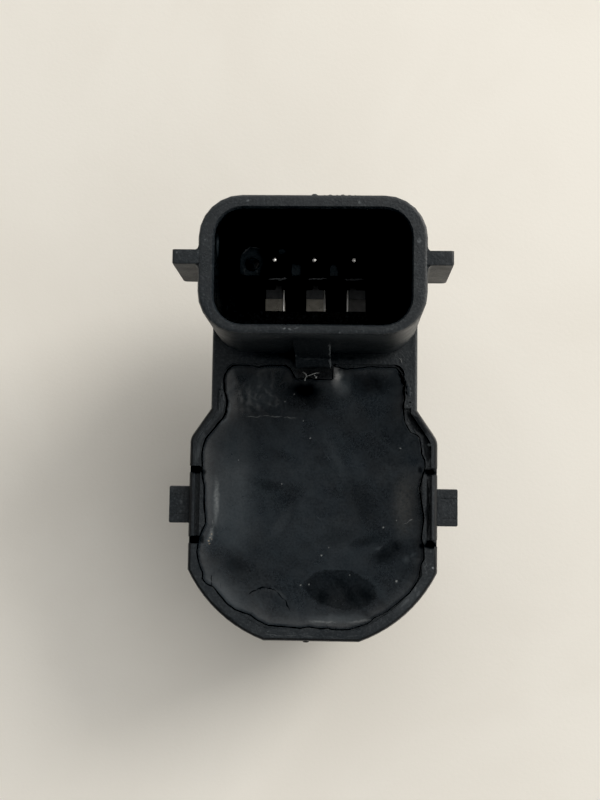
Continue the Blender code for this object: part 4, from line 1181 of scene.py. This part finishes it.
# The socket's inside comes from a polished core: smoother, and near-black as painted shade because little
# light gets in, with a few dull bright bits.
SHADED_SOCKET_PBT = Finish(
    "glass_filled_pbt_polished_painted_shade", "020304", "040506", 0.3, 0.05, ior=1.55, specular=0.12, mottle_mm=1.6,
    mottle_share=0.7, grain_mm=0.3, grain_depth_mm=0.004, fine=0.12, fine_mm=0.3, veil_and_sheen="56626a",
    marks=(
        # painted highlights on the keying boss and the two ribs, and a lighter smear beyond them
        *spots(HAZE_AND_SHEEN, 18.8, 0.7, (-6.3, 23.8, 1.5, 1.9, 0, 0.5, 0.5)),
        *trail(PALE, [(-6.9, 22.6), (-6.8, 23.4), (-6.2, 23.7), (-5.6, 23.2), (-5.6, 22.6)], 18.8, 0.07,
               0.3),
        *trail(PALE, [(-7.65, 22.3), (-7.55, 23.5), (-7.2, 24.6), (-6.35, 25.4), (-5.3, 25.1)], 18.8, 0.08,
               0.5),
        *spots(HAZE_AND_SHEEN, 19, 0.5, (-1.9, 23, 0.9, 0.9, 0, 0.6, 0.5), (1.75, 22.9, 0.6, 0.9, 0, 0.6, 0.6)),
        *spots(HAZE_AND_SHEEN, 18.1, 0.6, (-3.3, 25.1, 0.5, 0.45, 0, 0.5, 0.5)),
        # painted highlights on the platform's edge before each contact, and bits of dust
        *spots(PALE, 18, 0.3, *((x, 22.38, 1.2, 0.13, 0, 0.9, 0.6) for x in (-3.65, 0.15, 3.75))),
        *spots(PALE, 18.4, 0.5, (-6.35, 22.4, 0.2, 0.2, 0, 0.5, 0.4)),
        *spots(PALE, 22, 0.3, (-8.4, 22.4, 0.5, 0.15, 0, 0.5, 0.4)),
        *spots(HAZE_AND_SHEEN, 27, 1.6, (-8.7, 23.6, 0.4, 1.2, 0, 0.35, 0.1)),
        *(Mark(PALE, place, (0.2, 0.2, 0.3), 0, 0.4, 0.4) for place in (
            (-8.6, 23.94, 27), (-8.45, 21.01, 26), (-7.75, 18.15, 27), (1.3, 16, 27.5), (2.9, 16, 29.2))),
    ))

# Cured two-part potting resin: near-black and satin, with a dusty haze, dark glossy patches and specks; some
# marks are painted highlights on its rising brim, and painted shade and dark reflection in the notches, the
# gap and under the tab.
POTTING_RESIN = Finish(
    "cured_potting_resin", "0b1015", "171e24", 0.29, 0.06, ior=1.52, mottle_mm=5.0, mottle_share=0.8,
    grain_mm=0.3, grain_depth_mm=0.002, ripple_mm=4.0, ripple_depth_mm=0.02, fine=0.22, fine_mm=0.2,
    fine_low=0.36, pattern=Pattern.SMEARS, pattern_mm=1.1, pattern_colour="2c3439", pale="8b8f90",
    veil_and_sheen="3b4247", wet_and_shade="06080a", brown="a08f78",
    marks=(
        # the dark half disc at the lower end, with its streaks
        *spots(WET, 17, 3, (2.75, -7.7, 3.7, 2, -7, 0.65, 0.88), (1.9, -6.5, 2, 0.8, 10, 0.7, 0.2)),
        *spots(BLACK_SHADE, 17, 3, (1, -8.45, 0.8, 1.1, 5, 0.6, 0.1), (5.1, -8.1, 1.5, 0.9, -30, 0.6, 0.1)),
        *trail(BLACK_SHADE, [(2.3, -6.6), (3.3, -7.6), (4.1, -8.8)], 17, 0.8, 0.5),
        # smaller dark patches; those under the tab and near the shroud's upper edge are a painted shadow and
        # dark reflection of the shroud
        *spots(BLACK_SHADE, 17, 3, (8.05, -3.45, 1.1, 0.75, -10, 0.6, 0), (-0.9, 11.6, 2.3, 1.3, 0, 0.9, 0.25)),
        *spots(WET, 17, 3, (6.9, -4.4, 2, 1.1, 20, 0.9, 0), (5.2, -3, 2.4, 0.9, 15, 0.7, 0),
               (-7.3, -5.5, 3, 2, -32, 0.7, 0), (-0.4, 10.6, 2.7, 1.5, 10, 0.8, 0.1),
               (5.8, 12.3, 2.9, 1.8, 0, 1, 0.1), (-2, 1.6, 2.6, 1.5, 30, 0.4, 0.1),
               (2.6, -2.6, 2.4, 1.6, 15, 0.4, 0.1), (5, 0.4, 2.2, 3.6, 20, 0.5, 0.1),
               (-4, 2.2, 2.6, 0.9, -8, 0.5, 0.1)),
        # painted shade where the end notches meet the resin, and in the torn gap at the neck
        *spots(BLACK_SHADE, 17, 1, *((x, y, 0.34, 0.45, 0, 0.8, 0.3) for x, y in (
            (-10.65, 3.4), (-10.75, -3.05), (10.35, 3.85), (10.55, -3.4)))),
        *trail(BLACK_SHADE, [(8.2, 13.4), (8.45, 12.8), (8.62, 12.2)], 17.1, 0.1, 0.9),
        # the blister's rim and fine branches of the crack
        *trail(BLACK_SHADE, [(-6.05, -8.24), (-5.38, -7.76), (-4.41, -7.59), (-3.44, -7.92), (-2.66, -8.67),
                      (-2.07, -9.7)], 16.8, 0.1, 1),
        *trail(BLACK_SHADE, [(-9.73, -6.57), (-9.68, -7.1), (-9.61, -7.55)], 17.1, 0.07, 1),
        *trail(BLACK_SHADE, [(-8.9, -7.2), (-8.7, -7.8)], 17, 0.04, 0.4),
        # lighter haze, partly dust; the soft columns at the left wall, the line at the left neck and the band
        # along the lower edge are painted highlights where the resin's brim rises to the wall
        *spots(HAZE_AND_SHEEN, 17, 3, (-7.8, 1.2, 3.3, 8.5, 0, 0.52, 0.2), (-8.6, -8.2, 4.2, 1.5, -42, 0.4, 0.1),
               (8.9, 0.6, 1.9, 4.6, 0, 0.35, 0.1), (2.8, -10.45, 3.7, 0.65, 0, 0.5, 0.2),
               (9.05, -4.77, 0.45, 0.6, 0, 0.5, 0.1), (2, 5.4, 0.8, 3.8, 24, 0.3, 0.1),
               (-3.2, -1.6, 0.9, 2.6, -30, 0.25, 0.1), (-5.4, 11.3, 2.7, 2.2, 0, 0.5, 0.3),
               (9.7, -4.3, 0.6, 0.3, 30, 0.45, 0.1), (6.4, -3.7, 0.6, 0.22, 25, 0.7, 0.1)),
        *spots(HAZE_AND_SHEEN, 17.2, 3, (-9.35, 0.6, 0.65, 3.6, 1, 0.75, 0.2), (-9.9, -2.8, 0.5, 1.2, -15, 0.7, 0.2),
               (-8, 11.6, 0.4, 2.4, 0, 0.5, 0.1)),
        *spots(PALE, 17.2, 3, (-9.4, 0.7, 0.34, 3, 0, 0.34, 0.1), (-9.85, -2.5, 0.3, 1.1, -18, 0.3, 0.1)),
        *spots(BROWN, 17, 3, (8.9, 0.6, 1.6, 4.2, 0, 0.05, 0.1)),
        *trail(HAZE_AND_SHEEN, [(-8.44, 11.8), (-8.21, 10.4), (-8.32, 8.85), (-9.15, 8.05)], 17, 0.16, 0.9),
        *trail(PALE, [(-0.2, -10.72), (2.4, -10.76)], 16.9, 0.18, 0.22),
        *trail(PALE, [(3.6, -10.72), (5.7, -10.55)], 16.9, 0.16, 0.22),
        # faint wiping strokes
        *trail(HAZE_AND_SHEEN, [(1, 5.6), (1.7, 4.6), (2.2, 3.6), (3, 2.9)], 17, 0.1, 0.5),
        *trail(HAZE_AND_SHEEN, [(2, 5), (2.6, 4), (3.1, 3.4), (3.3, 2.4)], 17, 0.08, 0.4),
        *trail(HAZE_AND_SHEEN, [(-0.2, 7.2), (0.9, 6), (1.4, 4.8)], 17, 0.1, 0.35),
        *trail(HAZE_AND_SHEEN, [(0.3, -0.6), (1, -1.4), (1.4, -2.3)], 17, 0.1, 0.4),
        # crumpled swirls in the upper left corner
        *trail(PALE, [(-6.3, 12), (-6.6, 11.3), (-6.2, 10.7), (-5.5, 10.6), (-5.1, 11.2)], 17, 0.15, 0.1),
        *trail(PALE, [(-5.1, 11.9), (-4.4, 11.1), (-3.7, 10.9), (-3.3, 10.4), (-3.9, 10), (-4.7, 10.2)], 17,
               0.14, 0.1),
        # a painted highlight: the bright speckled spot beside the tab, where the resin rises to its wall
        *spots(PALE, 17.2, 3, (2.5, 13.1, 0.5, 0.75, -8, 0.7, 0.1)),
        *spots(HAZE_AND_SHEEN, 17.2, 3, (2.9, 12.3, 1.2, 1.7, -20, 0.9, 0.1)),
        # the long hair scratch and the short curved one
        *trail(PALE, [(-6.6, 8.86), (-5.07, 8.96), (-4.29, 9), (-3.02, 8.94), (-1.6, 8.76)], 17, 0.06, 0.5),
        *trail(PALE, [(8.82, -1.32), (9.11, -1.26), (9.3, -1.02), (9.62, -0.83)], 17.1, 0.055, 0.7),
        # the pale grit at the left wall, and settled specks
        *spots(BROWN, 17.2, 1, *((x, y, r, r, 0, 1, 0.3) for x, y, r in (
            (-9.82, -2.55, 0.1), (-9.98, -2.85, 0.09), (-9.8, -3.05, 0.09), (-10.04, -3.25, 0.1),
            (-9.93, -3.55, 0.09)))),
        *spots(PALE, 17.2, 1, (-9.7, -1.4, 0.08, 0.3, 0, 0.35, 0.1)),
        *spots(PALE, 17, 1, *((x, y, r, r, 0, 0.75, 0.3) for x, y, r in (
            (-0.35, 6.88, 0.1), (-7.23, 4.56, 0.08), (-3.11, 2.38, 0.12), (0.95, -4.4, 0.12),
            (-1.03, -7.39, 0.12), (-0.3, -7.28, 0.1), (8.18, -6.86, 0.17), (6.9, -1.63, 0.12),
            (8.49, 6.01, 0.1), (-2.84, 10.38, 0.1), (-1.06, 8.63, 0.08), (-1.97, 11.17, 0.08),
            (1.7, -3.7, 0.08), (3.6, -6.3, 0.08), (8.1, -1, 0.07)))),
    ))

# The same resin smeared thin and dried rough, beside the crack.
SMEARED_RESIN = replace(POTTING_RESIN, name="potting_resin_smear", roughness=0.5, specular=0.3, marks=())

# Tin plating on brass: soft grey metal, slightly yellowed, with fine drawing lines.
TIN = Finish("tin_plated_brass", "97948c", "73716d", 0.34, metallic=1.0, mottle_mm=0.8, grain_mm=0.08,
             grain_depth_mm=0.004)

# Near-white tin on the coined folds and the pins' tips: a painted glint where they catch the light.
GLINT_TIN = replace(TIN, name="painted_glint_tin_plating", base="f4f3f0", second="e2e1de", roughness=0.36)

# The right blade's tin, duller than its neighbours'.
DULL_TIN = replace(TIN, name="dull_tin_plating", base="5c5c5c", second="474746", roughness=0.4)

# Darker tin for the rest of each contact: painted shade towards the bridge, and unbroken painted shade round
# the shafts, which stand in the dark.
SHADED_TIN = replace(
    TIN, name="painted_shade_tin_plating", base="56585a", second="3c3e40", roughness=0.38, wet_and_shade="050505",
    marks=spots(BLACK_SHADE, 20.2, 4.4, *((x, 23.1, 1.6, 1.6, 0, 1, 0.94) for x in (-3.7, 0, 3.7))))

# Dried resin strings and lint: dull whitish grey.
STRING = Finish("dried_resin_string", "8d908f", "6d7070", 0.7, mottle_mm=0.5, grain_mm=0.08)

# Lacquered aluminium cup: satin black, even, with a light orange peel.
CUP_COATING = Finish("lacquered_aluminium", "1a1b1d", "222426", 0.38, 0.05, mottle_mm=4.0, grain_mm=0.35,
                     grain_depth_mm=0.006, dust=0.2)

# Moulded silicone: matt black with a soft bloom.
RING_SILICONE = Finish("black_silicone_moulded", "1c1c1d", "2a2a2b", 0.72, 0.06, ior=1.41, mottle_mm=2.0,
                       grain_mm=0.1, grain_depth_mm=0.008, dust=0.3)

# Fired piezo ceramic: a dry cream, faintly mottled.
PIEZO = Finish("fired_piezo_ceramic", "c6bfa9", "a89f86", 0.5, ior=1.6, mottle_mm=1.2, grain_mm=0.06,
               grain_depth_mm=0.006)

# Open-celled foam: matt grey full of dark pores.
FOAM = Finish("grey_foam", "6d6d6c", "828180", 0.92, ior=1.45, mottle_mm=1.5, pattern=Pattern.PORES,
              pattern_mm=0.35, pattern_colour="343434", grain_mm=0.1, grain_depth_mm=0.02)

# Silicone cast in place: pale grey with a dull sheen.
COVER_SILICONE = Finish("grey_silicone_cast", "a5a6a5", "8e908f", 0.55, ior=1.41, mottle_mm=2.2,
                        grain_mm=0.25, dust=0.2)

# Extruded PVC insulation: red and black, with a slight sheen.
RED_LEAD = Finish("red_pvc_insulation", "a3201c", "7f1714", 0.42, ior=1.53, mottle_mm=1.0, grain_mm=0.08)
BLACK_LEAD = replace(RED_LEAD, name="black_pvc_insulation", base="17181a", second="232527")

# Solder mask over copper on glass laminate: glossy green, with the tracks showing lighter.
LAMINATE = Finish("solder_mask_on_laminate", "14532b", "0f4423", 0.35, ior=1.55, mottle_mm=2.0,
                  pattern=Pattern.TRACKS, pattern_mm=1.8, pattern_colour="1f6b3a", grain_depth_mm=0.004)

# Transfer-moulded epoxy: dull black with a fine sandy texture.
CHIP_EPOXY = Finish("transfer_moulded_epoxy", "1b1c1e", "28292c", 0.55, ior=1.55, mottle_mm=0.8,
                    grain_mm=0.07, grain_depth_mm=0.008)

# Sintered ferrite: dark grey, dry and gritty.
FERRITE = Finish("sintered_ferrite", "34353a", "45464b", 0.62, ior=1.6, mottle_mm=0.7, grain_mm=0.09,
                 grain_depth_mm=0.012)

# Enamelled copper wire, wound in close turns: shiny orange-brown with dark lines between the turns.
COPPER = Finish("enamelled_copper_wire", "b5622c", "8c4620", 0.3, metallic=1.0, mottle_mm=0.9,
                pattern=Pattern.TURNS, pattern_mm=0.22, pattern_colour="5b2a12", grain_mm=0.1,
                grain_depth_mm=0.003)

# Moulded epoxy of a tantalum capacitor: warm yellow, half matt.
TANTALUM = Finish("yellow_moulded_epoxy", "b98a2a", "a2761f", 0.45, ior=1.55, mottle_mm=0.8, grain_mm=0.08)

# Ceramic of a chip capacitor: dry tan.
CERAMIC = Finish("tan_ceramic_chip", "9c8264", "84694c", 0.5, ior=1.6, mottle_mm=0.5, grain_mm=0.06)

# Glaze over a chip resistor: glossy black.
GLAZE = Finish("black_resistor_glaze", "131416", "1f2023", 0.28, mottle_mm=0.6, grain_mm=0.08,
               grain_depth_mm=0.004)

# Matt pale card under the sensor: warm white, hardly mottled.
CARD = Finish("matt_pale_card", "eae7e0", "e2ded6", 0.9, 0.02, mottle_mm=30.0, grain_mm=0.4)

CARRIED = {
    "membrane_cup": CUP_COATING, "decoupling_ring": RING_SILICONE, "piezo_disc": PIEZO,
    "damping_foam": FOAM, "cup_cover": COVER_SILICONE, "lead_wire_positive": RED_LEAD,
    "lead_wire_negative": BLACK_LEAD, "circuit_board": LAMINATE, "sensor_chip": CHIP_EPOXY,
    "transformer_core": FERRITE, "transformer_winding": COPPER, "buffer_capacitor": TANTALUM,
    "filter_capacitor_left": CERAMIC, "filter_capacitor_right": CERAMIC, "protection_diode": CHIP_EPOXY,
    "damping_resistor": GLAZE, "supply_resistor": GLAZE, "signal_resistor": GLAZE,
}


@dataclass
class Studio:
    """A plain pale floor, soft lights and the camera."""

    camera_place: Point3 = (2.65, -1.02, 134.57)
    photo_height_px: float = 800.0
    focal_px: float = 1210.0
    upright_px: Point2 = (40.0, 120.0)    # where upright edges meet, from the photo's middle
    sensor_mm: float = 36.0
    roll: float = 0.8
    floor_gap: float = 0.02
    key_place: Point3 = (460.0, 330.0, 330.0)
    key_aim: Point3 = (0.0, 6.0, 17.0)
    key_size: float = 300.0
    key_power: float = 2.9
    zenith: float = 0.05
    shade_toward: Point3 = (-0.1, -0.08, 0.99)
    bright_toward: Point3 = (0.75, 0.66, 0.0)
    far_share: float = 0.1
    room_strength: float = 1.4
    black_level: float = 0.0022

    def placed(self, name: str, data: bpy.types.ID, place: Point3, turn: Matrix) -> Object:
        """Puts a camera or a light in the scene.

        Args:
            name: its name.
            data: its data.
            place: where it stands.
            turn: its rotation.
        Returns:
            The object.
        """
        made = bpy.data.objects.new(name, data)
        made.matrix_world = Matrix.LocRotScale(Vector(place) * MM, turn.to_quaternion(), None)
        bpy.context.scene.collection.objects.link(made)
        return made

    def camera(self) -> None:
        """Places the camera, which looks almost straight down at the potted side."""
        view = Vector((self.upright_px[0] / self.focal_px, self.upright_px[1] / self.focal_px, 1.0))
        view.normalize()
        across = Vector((math.cos(math.radians(self.roll)), math.sin(math.radians(self.roll)), 0.0))
        first = (across - across.dot(view) * view).normalized()
        axes = Matrix((first, (-view).cross(first), -view)).transposed()
        data = bpy.data.cameras.new("camera")
        data.lens = self.sensor_mm * self.focal_px / self.photo_height_px
        data.clip_start, data.clip_end = 0.005, 20.0
        turn = axes.transposed() @ Matrix.Diagonal((1.0, -1.0, -1.0))
        bpy.context.scene.camera = self.placed("camera", data, self.camera_place, turn)

    def floor(self) -> None:
        """Lays the plain pale floor just under the sensor's face."""
        shape = bmesh.new()
        bmesh.ops.create_grid(shape, x_segments=1, y_segments=1, size=2.0)
        bmesh.ops.translate(shape, verts=shape.verts, vec=(0.0, 0.0, -self.floor_gap * MM))
        made = object_of("floor", shape)
        made.data.materials.append(CARD.build())

    def key(self) -> None:
        """Adds the square soft light at the upper right, aimed at the sensor."""
        data = bpy.data.lights.new("key", "AREA")
        data.shape, data.size, data.energy = "SQUARE", self.key_size * MM, self.key_power
        data.color = linear("fffaf2")[:3]
        aim = Vector(self.key_aim) - Vector(self.key_place)
        self.placed("key", data, self.key_place, aim.to_track_quat("-Z", "Y").to_matrix())

    def room(self) -> None:
        """The room's soft light: dark above, where the camera is held, and bright from the upper right."""
        world = bpy.data.worlds.new("soft_room")
        world.use_nodes = True
        tree = world.node_tree
        tree.nodes.clear()
        way = add(tree, "TexCoord").outputs["Generated"]
        held = add(tree, "VectorMath", [way, self.shade_toward], operation="DOT_PRODUCT").outputs["Value"]
        side = add(tree, "VectorMath", [way, self.bright_toward], operation="DOT_PRODUCT").outputs["Value"]
        shade = add(tree, "MapRange", [held, 0.8, 0.975, 1.0, self.zenith], interpolation_type="SMOOTHSTEP")
        window = add(tree, "MapRange", [side, -0.8, 0.5, self.far_share, 1.0])
        both = add(tree, "Math", [shade, window], operation="MULTIPLY")
        power = add(tree, "Math", [both, self.room_strength], operation="MULTIPLY")
        sky = add(tree, "Background", {"Color": linear("f6f4f0"), "Strength": power})
        add(tree, "OutputWorld", {"Surface": sky})
        bpy.context.scene.world = world

    def build(self) -> None:
        """Sets up the camera, the floor, the lights and the view."""
        self.camera()
        self.floor()
        self.key()
        self.room()
        settings = bpy.context.scene.view_settings
        settings.view_transform = "Standard"
        settings.use_curve_mapping = True
        settings.curve_mapping.black_level = (self.black_level,) * 3
        settings.curve_mapping.update()
        log.info("studio ready")


def main() -> None:
    """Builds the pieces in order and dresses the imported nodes."""
    logging.basicConfig(level=logging.INFO, format="%(message)s")
    Studio().build()
    crack = Crack()
    Housing(crack).build(HOUSING_PBT, SHADED_SOCKET_PBT, SHADED_EDGE_PBT)
    Potting(crack).build(POTTING_RESIN)
    residue = Residue()
    residue.strings(STRING.build())
    residue.beads(SMEARED_RESIN.build())
    tin, dull, bright, shaded_tin = (f.build() for f in (TIN, DULL_TIN, GLINT_TIN, SHADED_TIN))
    Contact("contact_pin_left", -4.0, 1.0, -3.7).build(tin, bright, shaded_tin)
    Contact("contact_pin_middle", 0.05, 1.0, 0.0).build(tin, bright, shaded_tin)
    Contact("contact_pin_right", 4.0, -1.0, 3.7).build(dull, bright, shaded_tin)
    built: dict[str, Material] = {}
    for node, finish in CARRIED.items():
        if finish.name not in built:
            built[finish.name] = finish.build()
        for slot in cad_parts[node].material_slots:
            slot.material = built[finish.name]
        log.info("%s: %s", node, finish.name)


if __name__ == "__main__":
    main()
